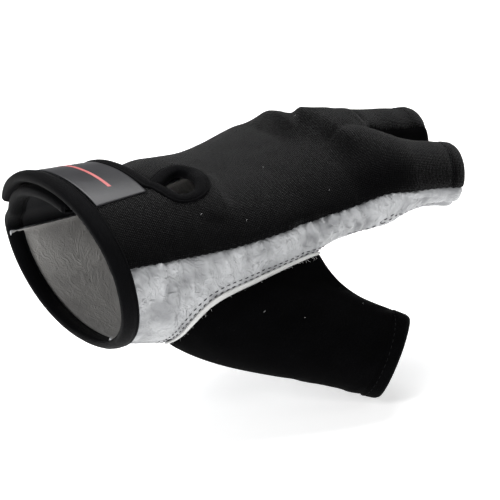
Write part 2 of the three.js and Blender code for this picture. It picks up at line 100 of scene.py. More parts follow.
# Where the sheets are cut, as (x, angle)
cuts = {
    "hole": [(20.5, -60), (21.3, -48.5), (23.5, -34.5), (28.5, -23.8), (35.5, -20), (47, -21.2), (58, -24.2),
             (65, -26.4), (69, -29.2), (71.5, -36), (69, -48), (65, -56), (58, -66), (47, -76), (35, -80),
             (26, -77), (22, -70)],
    "sideSeam": readTable("x deg", [(0, 11), (20, 9.6), (40, 7.6), (60, 9), (90, 9.6), (104, 9.6)]),
    "lowSeam": readTable("x deg", [(71.5, -36), (75, -34), (80, -34), (104, -37)]),
    "keyhole": [(0, 64), (12, 64), (26, 64), (28.5, 57.5), (30, 51.5), (31.5, 49.8), (34.5, 50.6), (37.5, 54),
                (40.2, 61), (42, 72), (40.2, 77.3), (37.5, 77.5), (34.5, 75.5), (30, 71), (26, 69.2),
                (12, 68.5), (0, 68)],
    "tabEdge": 26,
    "tabEnd": 148,
    "raise": 0.5,
    "cinch": 3.9,
    "flapReach": 22,
}
# The knuckle and the main folds: from one point to the other, a groove where the height is negative
folds = readTable("x deg toX toDeg width height", [
    (84.5, 96, 107, 88, 10, 5),
    (91.5, 88, 100, 80, 5, 3.4),
    (42, 66, 38, 30, 4.2, 0.9),
    (64, 12, 66, -20, 3.2, -1.1),
    (71, 12, 76, -22, 3.4, -0.8),
    (16, 10, 15, -38, 3.6, 0.9),
    (90, 60, 104, 58, 9, 3.5),
])
panelColumns = {"back": (6, 6, 5, 6), "palm": (5, 5, 5, 6), "side": 6, "slit": 8}


def smooth(t):
    t = np.clip(t, 0, 1)
    return t * t * (3 - 2 * t)


def mix(a, b, t):
    return a + (b - a) * t


def alongTable(table, x, column):  # a smooth curve through a column's values
    xs, ys = table["x"], table[column]
    x = np.asarray(x, float)
    slopes = np.zeros(len(xs))
    slopes[1:-1] = (ys[2:] - ys[:-2]) / (xs[2:] - xs[:-2])
    slopes[0] = (ys[1] - ys[0]) / (xs[1] - xs[0])
    slopes[-1] = (ys[-1] - ys[-2]) / (xs[-1] - xs[-2])
    k = np.clip(np.searchsorted(xs, x, side="right") - 1, 0, len(xs) - 2)
    h = xs[k + 1] - xs[k]
    t = (x - xs[k]) / h
    return ((2 * t**3 - 3 * t**2 + 1) * ys[k] + (t**3 - 2 * t**2 + t) * h * slopes[k]
            + (3 * t**2 - 2 * t**3) * ys[k + 1] + (t**3 - t**2) * h * slopes[k + 1])


def roundPath(points, closed=False, count=40):  # a smooth path through (x, angle) points
    p = np.array(points, float)
    scale = np.array([1, form["mmPerDegree"]])
    if closed:
        p = np.vstack([p[-1:], p, p[:2]])
    t = np.concatenate([[0], np.cumsum(np.sqrt(np.linalg.norm(np.diff(p * scale, axis=0), axis=1)))])
    path = []
    first, last = (1, len(p) - 2) if closed else (0, len(p) - 1)
    for i in range(first, last):
        a, b = max(i - 1, 0), min(i + 2, len(p) - 1)
        h = t[i + 1] - t[i]
        m0 = (p[i + 1] - p[a]) / (t[i + 1] - t[a])
        m1 = (p[b] - p[i]) / (t[b] - t[i])
        u = np.linspace(0, 1, count, endpoint=False)[:, None]
        path.append((2 * u**3 - 3 * u**2 + 1) * p[i] + (u**3 - 2 * u**2 + u) * h * m0
                    + (3 * u**2 - 2 * u**3) * p[i + 1] + (u**3 - u**2) * h * m1)
    if not closed:
        path.append(p[-1:])
    return np.vstack(path)


holePath = roundPath(cuts["hole"], closed=True)
holeLeft, holeRight = int(np.argmin(holePath[:, 0])), int(np.argmax(holePath[:, 0]))
holePath = np.roll(holePath, -holeLeft, axis=0)
holeRight = (holeRight - holeLeft) % len(holePath)
holeTop = holePath[:holeRight + 1]
holeBottom = np.vstack([holePath[holeRight:], holePath[:1]])[::-1]
slotPath = roundPath(cuts["keyhole"])
slotTip = int(np.argmax(slotPath[:, 0]))
slotNear, slotFar = slotPath[:slotTip + 1], slotPath[slotTip:][::-1]
slitEnd = slotPath[slotTip, 0]
holeStart, holeEnd = holeTop[0, 0], holeTop[-1, 0]


def onBranch(branch, x):
    return np.interp(x, np.maximum.accumulate(branch[:, 0]), branch[:, 1])


def edgeOfHole(branch, x):  # the hole's edge, and the seam that runs on from its two ends
    x = np.asarray(x, float)
    beyond = alongTable(cuts["lowSeam"], np.maximum(x, holeEnd), "deg")
    beyond += (branch[-1, 1] + 36) * (1 - smooth((x - holeEnd) / 8))
    return np.where(x < holeStart, branch[0, 1], np.where(x > holeEnd, beyond, onBranch(branch, x)))


def foldLift(x, deg):
    lift = 0
    for k in range(len(folds["x"])):
        f = {key: values[k] for key, values in folds.items()}
        ux, uy = f["toX"] - f["x"], (f["toDeg"] - f["deg"]) * form["foldMmPerDegree"]
        px, py = x - f["x"], (deg - f["deg"]) * form["foldMmPerDegree"]
        long = math.hypot(ux, uy)
        s = (px * ux + py * uy) / long**2
        off = (px * uy - py * ux) / long
        fade = smooth((s + 0.15) / 0.3) * smooth((1.15 - s) / 0.3)
        lift = lift + f["height"] * fade * np.exp(-(off / f["width"])**2)
    return lift


def layerLift(layer, x, deg):
    near = 1 - smooth((x - cuts["tabEdge"]) / (slitEnd - cuts["tabEdge"]))
    if layer == "tab":
        return cuts["raise"] * near * smooth((deg - 34) / 26)
    if layer == "flap":
        beyond = (np.mod(deg, 360) - cuts["tabEnd"] - 3) / cuts["flapReach"]
        return -cuts["cinch"] * near * (1 - smooth(beyond))
    return 0 * x


def hand(x, deg, layer=""):
    x, deg = np.broadcast_arrays(np.asarray(x, float), np.asarray(deg, float))
    c, v = np.cos(np.radians(deg)), np.sin(np.radians(deg))
    at = {key: alongTable(form["sections"], x, key) for key in ("y", "z", "half", "back", "palm")}
    power = 2 / form["squareness"]
    lift = layerLift(layer, x, deg) + foldLift(x, deg)
    return np.stack([
        x - form["rimSlant"] * v * (1 - smooth(x / 45)),
        at["y"] - (at["half"] + lift) * np.sign(c) * np.abs(c)**power,
        at["z"] + (np.where(v > 0, at["back"], at["palm"]) + lift) * np.sign(v) * np.abs(v)**power,
    ], -1)


def finger(k, x, deg):
    k, x, deg = np.broadcast_arrays(k, np.asarray(x, float), np.asarray(deg, float))
    f = {key: values[k] for key, values in form["fingers"].items()}
    yaw, bend = np.radians(f["yaw"]), np.radians(f["bend"])
    even = (x - f["x"]) / np.cos(bend)
    s = even + f["turn"] * (1 - np.cos(np.radians(deg))) / 2 * np.clip((even - 15) / (f["rim"] - 15), 0, 1)**2
    wide = -np.cos(np.radians(deg)) * mix(f["wide"], f["rimWide"], s / f["rim"])
    high = np.sin(np.radians(deg)) * mix(f["deep"], f["rimDeep"], s / f["rim"])
    start, long, sharp = form["web"]
    web = (f["webIn"] * np.exp(sharp * (np.cos(np.radians(deg - form["stripTop"])) - 1))
           + f["webOut"] * np.exp(sharp * (np.cos(np.radians(deg + form["stripTop"] - 180)) - 1)))
    high = high + web * (1 - smooth((s - start) / long))
    flat = s * np.cos(bend) + high * np.sin(bend)
    return np.stack([
        f["x"] + flat * np.cos(yaw) - wide * np.sin(yaw),
        f["y"] + flat * np.sin(yaw) + wide * np.cos(yaw),
        f["z"] - s * np.sin(bend) + high * np.cos(bend),
    ], -1)


def rimOf(k):
    f = form["fingers"]
    return f["x"][k] + f["rim"][k] * math.cos(math.radians(f["bend"][k]))


def skin(k, x, handDeg, fingerDeg, layer=""):
    share = smooth((np.asarray(x, float) - form["knuckles"]) / (form["crotch"] - form["knuckles"]))
    onHand, onFinger = hand(x, handDeg, layer), finger(k, x, fingerDeg)
    return mix(onHand, onFinger, np.broadcast_to(share, onFinger.shape[:-1])[..., None])


def meet(k, x, handDeg, degHere, degNext):
    x = np.asarray(x, float)
    opening = np.sqrt(1 - (1 - np.clip((x - form["crotch"]) / form["notch"], 0, 1))**2)
    gapAcross = skin(k + 1, x, handDeg, degNext) - skin(k, x, handDeg, degHere)
    return gapAcross * ((1 - opening) / 2)[..., None]


def fan(k, t, x, handDeg, side, layer=""):
    k, t, x, handDeg = np.broadcast_arrays(k, t, np.asarray(x, float), handDeg)
    f = form["fingers"]
    seam = mix(*form["seamTurn"], np.clip((x - f["x"][0]) / f["rim"][0], 0, 1))
    top, outer = form["stripTop"], form["outerSeam"]
    first = np.where(k == 0, seam if side > 0 else form["lowTurn"], side * top)
    last = np.where(k == 3, outer if side > 0 else outer - 360, side * (180 - top))
    p = skin(k, x, handDeg, mix(first, last, t), layer)
    turn = side * top
    for q in range(3):
        parting = meet(q, x, side * form["splits"][q], side * 180 - turn, turn)
        here = np.where(k == q, np.clip(1 - (1 - t) / 0.4, 0, 1)**2, 0)
        there = np.where(k == q + 1, np.clip(1 - t / 0.4, 0, 1)**2, 0)
        p = p + parting * (here - there)[..., None]
    return p


def place(columns, j):
    ends = np.cumsum(columns)
    k = np.clip(np.searchsorted(ends, np.asarray(j) - 1e-9, side="left"), 0, len(columns) - 1)
    return k, (j - (ends - np.array(columns))[k]) / np.array(columns)[k]


def columnDeg(edges, columns, x, j, even):
    k, t = place(columns, j)
    edges = np.array(np.broadcast_arrays(*edges))
    spread = np.take_along_axis(edges, k[None], 0)[0], np.take_along_axis(edges, k[None] + 1, 0)[0]
    share = smooth((x - form["spreadStart"]) / (form["knuckles"] - form["spreadStart"]))
    return mix(even, mix(*spread, t), share)


def backPoint(x, j, layer):
    x, j = np.broadcast_arrays(np.asarray(x, float), np.asarray(j, float))
    columns, slit, outer = panelColumns["back"], panelColumns["slit"], form["outerSeam"]
    seam = alongTable(cuts["sideSeam"], x, "deg")
    near, far = onBranch(slotNear, x), onBranch(slotFar, x)
    nearSide, farSide = mix(seam, near, j / slit), mix(far, outer, (j - slit) / (sum(columns) - slit))
    even = {"tab": nearSide, "flap": farSide, "joined": np.where(j <= slit, nearSide, farSide)}[layer]
    k, t = place(columns, j)
    edges = [seam] + [q + 0 * x for q in form["splits"]] + [outer + 0 * x]
    deg = columnDeg(edges, columns, x, j, even)
    return fan(k, t, x, deg, 1, layer), deg


def palmPoint(x, j):
    x, j = np.broadcast_arrays(np.asarray(x, float), np.asarray(j, float))
    columns, outer = panelColumns["palm"], form["outerSeam"] - 360
    low = edgeOfHole(holeBottom, x)
    even = mix(low, outer, j / sum(columns))
    k, t = place(columns, j)
    edges = [low] + [-q + 0 * x for q in form["splits"]] + [outer + 0 * x]
    deg = columnDeg(edges, columns, x, j, even)
    return fan(k, t, x, deg, -1), deg


def sidePoint(x, j):
    x, j = np.broadcast_arrays(np.asarray(x, float), np.asarray(j, float))
    t = j / panelColumns["side"]
    f = form["fingers"]
    seam = mix(*form["seamTurn"], np.clip((x - f["x"][0]) / f["rim"][0], 0, 1))
    deg = mix(alongTable(cuts["sideSeam"], x, "deg"), edgeOfHole(holeTop, x), t)
    return skin(0, x, deg, mix(seam, form["lowTurn"], t)), deg


thumbRows = np.stack([form["thumb"][key] for key in "xyz"], -1)
thumbAxis = thumbRows[2] - thumbRows[0]
thumbAxis = thumbAxis / np.linalg.norm(thumbAxis)
thumbAcross = np.cross([0, 0, 1], thumbAxis)
thumbAcross = thumbAcross / np.linalg.norm(thumbAcross)
thumbOver = np.cross(thumbAxis, thumbAcross)


def sleevePoint(edge, t):
    arm = edge - thumbRows[0]
    turn = np.arctan2(arm @ thumbOver, arm @ thumbAcross)

    def ring(k):
        wide, deep = form["thumb"]["wide"][k], form["thumb"]["deep"][k]
        return (thumbRows[k] + wide * np.cos(turn)[..., None] * thumbAcross
                + deep * np.sin(turn)[..., None] * thumbOver)

    m = 0.64
    t = np.asarray(t, float)[..., None]
    puff = form["sleevePuff"] * 12 * t * (1 - t)**4 * np.maximum(-np.sin(turn), 0)[..., None]
    deeper, towards = form["sleeveTurn"]
    further = deeper * (1 - np.cos(turn - math.radians(towards)))[..., None] / 2 * t**4
    return (edge * ((t - m) * (t - 1) / m) + ring(1) * (t * (t - 1) / (m * (m - 1)))
            + ring(2) * (t * (t - m) / (1 - m)) - thumbOver * puff + thumbAxis * further)


def unit(v):
    return v / np.maximum(np.linalg.norm(v, axis=-1, keepdims=True), 1e-9)


def lengthsAlong(path):
    return np.concatenate([[0], np.cumsum(np.linalg.norm(np.diff(path, axis=0), axis=1))])


def atLengths(t, s, path):
    return np.stack([np.interp(t, s, column) for column in path.T], -1)


def handNormal(x, deg, layer=""):
    step = 0.4
    alongX = hand(x + step, deg, layer) - hand(x - step, deg, layer)
    alongDeg = hand(x, deg + step, layer) - hand(x, deg - step, layer)
    return unit(np.cross(alongX, alongDeg))


def newObject(name, points, faces, slots=None, uv=None):
    mesh = bpy.data.meshes.new(name)
    mesh.from_pydata((np.asarray(points) / 1000).tolist(), [], [tuple(int(i) for i in f) for f in faces])
    mesh.polygons.foreach_set("use_smooth", [True] * len(mesh.polygons))
    if slots is not None:
        mesh.polygons.foreach_set("material_index", np.asarray(slots, int).tolist())
    if uv is not None:
        layer = mesh.uv_layers.new(name="UVMap")
        loops = np.empty(len(mesh.loops), int)
        mesh.loops.foreach_get("vertex_index", loops)
        layer.data.foreach_set("uv", np.asarray(uv, float)[loops].ravel())
    mesh.update()
    piece = bpy.data.objects.new(name, mesh)
    bpy.context.collection.objects.link(piece)
    return piece


def newPanel():
    return {"points": [], "x": [], "v": [], "kind": [], "quads": []}


# How a border vertex is finished: sewn to a neighbour, hemmed, bound with tape, or turned over the welt
sewn, hemmed, bound, turned = 1, 2, 3, 4


def addGrid(panel, points, x, kind, acrossStart=0, flip=False, closed=False):
    n, m = points.shape[:2]
    across = np.cumsum(np.linalg.norm(np.diff(points, axis=1), axis=2), 1)
    v = acrossStart + np.concatenate([np.zeros((n, 1)), across], 1)
    start = sum(len(q) for q in panel["points"])
    index = start + np.arange(n * m).reshape(n, m)
    if closed:
        index = np.hstack([index, index[:, :1]])
    quads = np.stack([index[:-1, :-1], index[1:, :-1], index[1:, 1:], index[:-1, 1:]], -1).reshape(-1, 4)
    panel["quads"].append(quads[:, ::-1] if flip else quads)
    panel["points"].append(points.reshape(-1, 3))
    for key, values in (("x", x), ("v", v), ("kind", kind)):
        panel[key].append(np.broadcast_to(values, (n, m)).ravel())
    return v


def joinPanel(panel):
    points = np.vstack(panel["points"])
    _, first, same = np.unique(np.round(points * 100 + 0.0037).astype(np.int64), axis=0, return_index=True,
                               return_inverse=True)
    same = same.ravel()
    joined = {key: np.concatenate(panel[key])[first] for key in ("x", "v", "kind")}
    joined["points"] = points[first]
    quads = same[np.vstack(panel["quads"])]
    joined["quads"] = quads
    kinds = np.zeros(len(first), int)
    np.maximum.at(kinds, same, np.concatenate(panel["kind"]).astype(int))
    joined["kind"] = kinds
    return joined


def normalsOf(points, quads):
    a, b, c, d = (points[quads[:, i]] for i in range(4))
    facing = np.cross(c - a, d - b)
    normals = np.zeros_like(points)
    for i in range(4):
        np.add.at(normals, quads[:, i], facing)
    return unit(normals)


def bordersOf(quads, count):
    edges = np.concatenate([quads[:, [i, (i + 1) % 4]] for i in range(4)])
    code, back = edges[:, 0] * count + edges[:, 1], edges[:, 1] * count + edges[:, 0]
    return edges[~np.isin(code, back)]


def edgeDistance(panel, kinds, step=0.2):  # the distance to the borders of these kinds, and how far along
    points, kind = panel["points"], panel["kind"]
    border = bordersOf(panel["quads"], len(points))
    border = border[np.isin(np.minimum(kind[border[:, 0]], kind[border[:, 1]]), kinds)]
    chain, samples, along, length = {a: b for a, b in border}, [], [], 0
    starts = [a for a in chain if a not in set(chain.values())] or [next(iter(chain), None)]
    for a in starts:
        while a in chain:
            b = chain.pop(a)
            p, q = points[a], points[b]
            long = np.linalg.norm(q - p)
            for t in np.arange(0, 1, step / max(long, step)):
                samples.append(mix(p, q, t))
                along.append(length + long * t)
            length += long
            a = b
    if not samples:
        return np.full(len(points), 1e3), np.zeros(len(points))
    tree = KDTree(len(samples))
    for i, q in enumerate(samples):
        tree.insert(q, i)
    tree.balance()
    found = [tree.find(q)[1:] for q in points]
    along = np.array(along)
    return np.array([f[1] for f in found]), np.array([along[f[0]] for f in found])


def makeShell(name, panel, thickness, bulge=0.35, reach=0.0):  # reach draws the border out over its neighbour
    points, quads = panel["points"], panel["quads"]
    count = len(points)
    normals = normalsOf(points, quads)
    border = bordersOf(quads, count)
    way = unit(points[border[:, 1]] - points[border[:, 0]])
    outward = np.zeros_like(points)
    for end in (0, 1):
        np.add.at(outward, border[:, end], np.cross(way, normals[border[:, end]]))
    ids = np.unique(border)
    ringOf = np.full(count, -1)
    ringOf[ids] = np.arange(len(ids))
    out, up, middle = unit(outward[ids]), normals[ids], points[ids] - normals[ids] * thickness / 2
    verts, uvs = [points, panel["inner"]], [np.stack([panel["x"], panel["v"]], -1)] * 2
    layers = [np.arange(count)]
    for k, angle in enumerate((35, 90, 145)):
        c, s = math.cos(math.radians(angle)), math.sin(math.radians(angle))
        over = thickness * bulge + np.broadcast_to(reach, count)[ids] * min(1, (c + 1) / 2)
        verts.append(middle + up * (thickness / 2 * c) + out * (over * s)[:, None])
        uvs.append(uvs[0][ids])
        layers.append(np.where(ringOf >= 0, 2 * count + k * len(ids) + ringOf, -1))
    layers.append(np.arange(count) + count)
    faces, slots = [quads, quads[:, ::-1] + count], [0] * len(quads) + [1] * len(quads)
    a, b = border[:, 0], border[:, 1]
    for upper, lower in zip(layers[:-1], layers[1:]):
        faces.append(np.stack([upper[b], upper[a], lower[a], lower[b]], -1))
        slots += [0] * len(border)
    piece = newObject(name, np.vstack(verts), np.vstack(faces), slots, uv=np.vstack(uvs))
    return piece


def ringSolid(name, rings):  # a closed body through rings of points
    rings = np.asarray(rings, float)
    n, m = rings.shape[:2]
    index = np.arange(n * m).reshape(n, m)
    after, here = index[1:], index[:-1]
    walls = np.stack([here, np.roll(here, -1, 1), np.roll(after, -1, 1), after], -1)
    faces = walls.reshape(-1, 4).tolist() + [index[0][::-1].tolist(), index[-1].tolist()]
    u = np.concatenate([[0], np.cumsum(np.linalg.norm(np.diff(rings.mean(1), axis=0), axis=1))])
    v = np.concatenate([np.zeros((n, 1)), np.cumsum(np.linalg.norm(np.diff(rings, axis=1), axis=2), 1)], 1)
    uv = np.stack([np.broadcast_to(u[:, None], (n, m)), v], -1).reshape(-1, 2)
    return newObject(name, rings.reshape(-1, 3), faces, uv=uv)


# Creases: a seeded set of short grooves and ridges in a sheet's own coordinates, x along and v across
def creaseLift(x, v, style):
    rng = np.random.default_rng(style["seed"])
    lift = np.zeros_like(x)
    for _ in range(style["count"]):
        x0, v0 = rng.uniform(*style["x"]), rng.uniform(*style["v"])
        turn = math.radians(rng.normal(style["turn"], style["spread"]))
        long, wide = rng.uniform(*style["long"]), rng.uniform(*style["wide"])
        deep = rng.uniform(0.3, 1) * style["deep"] * rng.choice([-1, -1, 1])
        bow = rng.normal(0, style["bow"])
        dx, dv = x - x0, v - v0
        s = (dx * math.cos(turn) + dv * math.sin(turn)) / long
        off = -dx * math.sin(turn) + dv * math.cos(turn) - bow * s**2
        near = (np.abs(s) < 1) & (np.abs(off) < 4 * wide)
        lift[near] += deep * (1 - s[near]**2)**2 * np.exp(-(off[near] / wide)**2)
    return lift


def foldsOver(table, x, v):  # ridges and grooves, each along a slightly bent line in a sheet's coordinates
    lift = np.zeros_like(x)
    for k in range(len(table["x"])):
        f = {key: values[k] for key, values in table.items()}
        ux, uv = f["toX"] - f["x"], f["toV"] - f["v"]
        long = math.hypot(ux, uv)
        s = ((x - f["x"]) * ux + (v - f["v"]) * uv) / long**2
        off = ((x - f["x"]) * uv - (v - f["v"]) * ux) / long + 0.35 * np.sin(7 * s + 1.9 * k)
        fade = smooth((s + 0.08) / 0.2) * smooth((1.12 - s) / 0.3)
        lift += f["height"] * fade * np.exp(-(np.abs(off) / f["width"])**1.5)
    return lift


# Folds side by side in a sheet's own millimetres: count of them from a first start (x, v) to a last one, each
# of them alongX and alongV long, with ridges and grooves in turn
def foldGroups(rows):
    folded = []
    for x, v, lastX, lastV, count, alongX, alongV, width, height in rows:
        for i in range(count):
            t = i / max(count - 1, 1)
            startX, startV = mix(x, lastX, t), mix(v, lastV, t)
            folded.append((startX, startV, startX + alongX, startV + alongV, width, height * (-1)**i))
    return readTable("x v toX toV width height", folded)


leatherFolds = foldGroups([
    (15, -1, 17, -1, 2, -3, 14, 0.9, 0.85),
    (17, 5, 17, 11, 3, 8, 4, 0.5, -0.3),
    (4, 9, 2, 18, 3, 9, 9, 0.6, -0.35),
    (28, -0.5, 58, -0.5, 10, 2, 9, 0.6, 0.45),
    (63, -0.8, 84, -0.8, 12, 2, 9, 0.8, 0.75),
    (88, -0.5, 96, -0.5, 9, 0.3, 4, 0.5, 0.4),
    (100, 2, 100, 2, 1, 15, 3, 0.5, -0.35),
])
backFolds = foldGroups([
    (46, 30, 46, 30, 1, -4, -18, 2.3, 0.55),
    (102, 46, 102, 46, 1, 0, -8, 2.5, 0.5),
    (105, 50, 105, 50, 1, 0, -12, 1.2, -0.8),
])
detail = {"column": 6, "sideColumn": 12, "sideStep": 0.45, "fingerRows": 28, "scallop": 2.5, "overhang": 0.4}
seams = {
    "cloth": {"dip": 0.25, "width": 0.9, "scallop": 0.3},
    "leather": {"dip": 1.4, "width": 1.4, "scallop": 0.15},
    "knit": {"dip": 0.6, "width": 0.9, "scallop": 0.2},
}
thickness = {"back": 1.8, "leather": 1.3, "thumb": 1.5, "side": 1.1, "label": 0.5}


def rowsOver(a, b, step, easeIn=False, easeOut=False):
    t = np.linspace(0, 1, max(int(round((b - a) / step)), 2) + 1)
    if easeIn and easeOut:
        t = (1 - np.cos(math.pi * t)) / 2
    elif easeOut:
        t = np.sin(math.pi / 2 * t)
    elif easeIn:
        t = 1 - np.cos(math.pi / 2 * t)
    return a + (b - a) * t


def columnsOver(a, b, per):
    return np.linspace(a, b, int(round((b - a) * per)) + 1)


def kindGrid(n, m, first=0, last=0, left=0, right=0):  # first and last row, left and right column
    kind = np.zeros((n, m), int)
    kind[:, 0] = left
    kind[:, -1] = right
    if first:
        kind[0] = first
    if last:
        kind[-1] = last
    return kind


def fingerRows(k):
    t = np.linspace(0, 1, detail["fingerRows"] + 1)**1.5
    return mix(form["crotch"], rimOf(k), t)


def seamLift(panel, style):
    distance, along = edgeDistance(panel, [sewn])
    s = seams[style]
    wave = 1 + s["scallop"] * np.sin(2 * math.pi * along / detail["scallop"])
    return -s["dip"] * wave * np.exp(-(distance / s["width"])**2), distance, along


def hemLift(panel, height=0.3, width=5.0):
    distance, _ = edgeDistance(panel, [hemmed], 0.5)
    raised = height * (1 - smooth((distance - width + 0.5) / 0.8))
    return raised - 0.35 * np.exp(-((distance - width) / 0.45)**2) - 0.5 * np.exp(-(distance / 0.8)**2)


# Where the leather swells or sinks under the index finger: a centre, a radius and how far up it goes
swells = readTable("x y z radius rise", [
    (94.8, -37.4, -7, 8, -3), (80, -34, -11.5, 8, 1.8), (112, -37.5, -10, 12, 1.6),
])


def swell(points):
    rise = 0
    for x, y, z, radius, height in zip(*swells.values()):
        rise = rise + height * np.exp(-((points - (x, y, z))**2).sum(1) / radius**2)
    return points + np.outer(rise, (0, 0, 1))


def patternOf(panel):  # a smooth sheet's width across the hand, length along it and area, in metres
    a, b, c, d = (panel["points"][panel["quads"][:, i]] for i in range(4))
    area = np.linalg.norm(np.cross(c - a, d - b), axis=1).sum() / 2
    return np.ptp(panel["v"]) / 1000, np.ptp(panel["x"]) / 1000, area / 1e6


def dress(panel, lift, distance, thick):  # away from the seams the inner face takes less of the folds
    panel["pattern"] = patternOf(panel)
    panel["points"] = swell(panel["points"])
    normals = normalsOf(panel["points"], panel["quads"])
    share = mix(1, 0.3, smooth(distance / 2.5))
    panel["inner"] = panel["points"] + normals * (lift * share - thick)[:, None]
    panel["points"] = panel["points"] + normals * lift[:, None]


tip = float(slitEnd)
tabRows = rowsOver(0, cuts["tabEdge"], 1.0)
slitRows = np.concatenate([tabRows, rowsOver(cuts["tabEdge"], tip, 0.55, easeOut=True)[1:]])
joinedRows = np.concatenate([rowsOver(tip, 50, 0.65, easeIn=True), rowsOver(50, form["crotch"], 0.7)[1:]])
holeRows = rowsOver(float(holeStart), float(holeEnd), 0.75, easeIn=True, easeOut=True)
bodyRows = np.concatenate([rowsOver(0, float(holeStart), 0.9)[:-1], holeRows,
                           rowsOver(float(holeEnd), form["crotch"], 0.9)[1:]])
sideHoleRows = rowsOver(float(holeStart), float(holeEnd), detail["sideStep"], easeIn=True, easeOut=True)
sideRows = np.concatenate([rowsOver(0, float(holeStart), detail["sideStep"])[:-1], sideHoleRows,
                           rowsOver(float(holeEnd), form["crotch"], detail["sideStep"])[1:]])


def holeBorder(rows):  # the sheets are turned round the thumb hole, and sewn along the rest of that border
    return np.where((rows >= holeStart) & (rows <= holeEnd), turned, sewn)


def buildBack():
    panel = newPanel()
    per, slit, total = detail["column"], panelColumns["slit"], sum(panelColumns["back"])
    nearColumns, farColumns = columnsOver(0, slit, per), columnsOver(slit, total, per)
    x = slitRows[:, None]
    near, _ = backPoint(x, nearColumns[None], "tab")
    addGrid(panel, near, x, kindGrid(*near.shape[:2], first=bound, left=sewn, right=bound))
    far, _ = backPoint(x, farColumns[None], "flap")
    vFar = np.linalg.norm(np.diff(near, axis=1), axis=2).sum(1)[:, None]
    addGrid(panel, far, x, kindGrid(*far.shape[:2], first=bound, left=bound, right=sewn),
            acrossStart=vFar[-1, 0])
    allColumns = columnsOver(0, total, per)
    joined, _ = backPoint(joinedRows[:, None], allColumns[None], "joined")
    v = addGrid(panel, joined, joinedRows[:, None], kindGrid(*joined.shape[:2], left=sewn, right=sewn))
    start = 0
    for k, count in enumerate(panelColumns["back"]):
        rows, t = fingerRows(k), np.linspace(0, 1, count * per + 1)
        points = fan(k, t[None], rows[:, None], 0, 1)
        kind = kindGrid(*points.shape[:2], last=hemmed, left=sewn, right=sewn)
        addGrid(panel, points, rows[:, None], kind, acrossStart=v[-1, start])
        start += count * per
    degs = np.linspace(0, 1, 11 * per + 1)
    first = onBranch(slotNear, tabRows)[:, None]
    tab = hand(tabRows[:, None], mix(first, cuts["tabEnd"], degs[None]), "tab")
    tabKind = kindGrid(*tab.shape[:2], first=bound, last=bound, left=0, right=bound)
    addGrid(panel, tab, tabRows[:, None], tabKind, acrossStart=vFar[0, 0])
    panel = joinPanel(panel)
    lift, distance, along = seamLift(panel, "cloth")
    lift += hemLift(panel) + foldsOver(backFolds, panel["x"], panel["v"])
    lift += creaseLift(panel["x"], panel["v"], {
        "seed": 4, "count": 70, "x": (6, 128), "v": (0, 120), "turn": 75, "spread": 50, "long": (6, 22),
        "wide": (2.0, 5.0), "deep": 0.22, "bow": 1.5})
    dress(panel, lift, distance, thickness["back"])
    scallops = detail["overhang"] * (1 + np.sin(2 * math.pi * along / detail["scallop"]))
    reach = np.where(distance < 0.1, scallops, 0)
    return makeShell("glove_back", panel, thickness["back"], reach=reach), panel


def leatherLift(panel, seed, strength=1.0):
    lift, distance, _ = seamLift(panel, "leather")
    x, v = panel["x"], panel["v"]
    gathers = {"seed": seed, "count": 70, "x": (6, 124), "v": (0, 10), "turn": 84, "spread": 14,
               "long": (3, 9), "wide": (0.45, 1.0), "deep": 0.26 * strength, "bow": 0.8}
    slack = {"seed": seed + 1, "count": 320, "x": (2, 124), "v": (0, 90), "turn": 60, "spread": 65,
             "long": (3, 12), "wide": (0.4, 1.1), "deep": 0.22 * strength, "bow": 1.6}
    away = smooth(distance / 1.5)
    lift += away * (creaseLift(x, v, gathers) + creaseLift(x, v, slack)) + hemLift(panel, 0.15)
    return lift, distance


def buildSide():
    panel = newPanel()
    columns = columnsOver(0, panelColumns["side"], detail["sideColumn"])
    body, _ = sidePoint(sideRows[:, None], columns[None])
    addGrid(panel, body, sideRows[:, None],
            kindGrid(*body.shape[:2], first=bound, left=sewn, right=holeBorder(sideRows)), flip=True)
    rows = fingerRows(0)
    tipGrid, _ = sidePoint(rows[:, None], columns[None])
    addGrid(panel, tipGrid, rows[:, None], kindGrid(*tipGrid.shape[:2], last=hemmed, left=sewn, right=sewn),
            flip=True)
    panel = joinPanel(panel)
    lift, distance = leatherLift(panel, 11)
    dress(panel, lift + foldsOver(leatherFolds, panel["x"], panel["v"]), distance, thickness["leather"])
    return makeShell("side_leather", panel, thickness["leather"]), panel


def buildPalm():
    panel = newPanel()
    per, total = 5, sum(panelColumns["palm"])
    columns = columnsOver(0, total, per)
    body, _ = palmPoint(bodyRows[:, None], columns[None])
    v = addGrid(panel, body, bodyRows[:, None],
                kindGrid(*body.shape[:2], first=bound, left=holeBorder(bodyRows), right=sewn), flip=True)
    start = 0
    for k, count in enumerate(panelColumns["palm"]):
        rows, t = fingerRows(k), np.linspace(0, 1, count * per + 1)
        points = fan(k, t[None], rows[:, None], 0, -1)
        kind = kindGrid(*points.shape[:2], last=hemmed, left=sewn, right=sewn)
        addGrid(panel, points, rows[:, None], kind, acrossStart=v[-1, start], flip=True)
        start += count * per
    panel = joinPanel(panel)
    dress(panel, *leatherLift(panel, 23, 0.8), thickness["leather"])
    return makeShell("palm_leather", panel, thickness["leather"]), panel


def holeLoop():
    top = skin(0, holeRows, edgeOfHole(holeTop, holeRows), 0)
    low = skin(0, holeRows, edgeOfHole(holeBottom, holeRows), 0)
    return top, np.vstack([top, low[1:-1][::-1]])


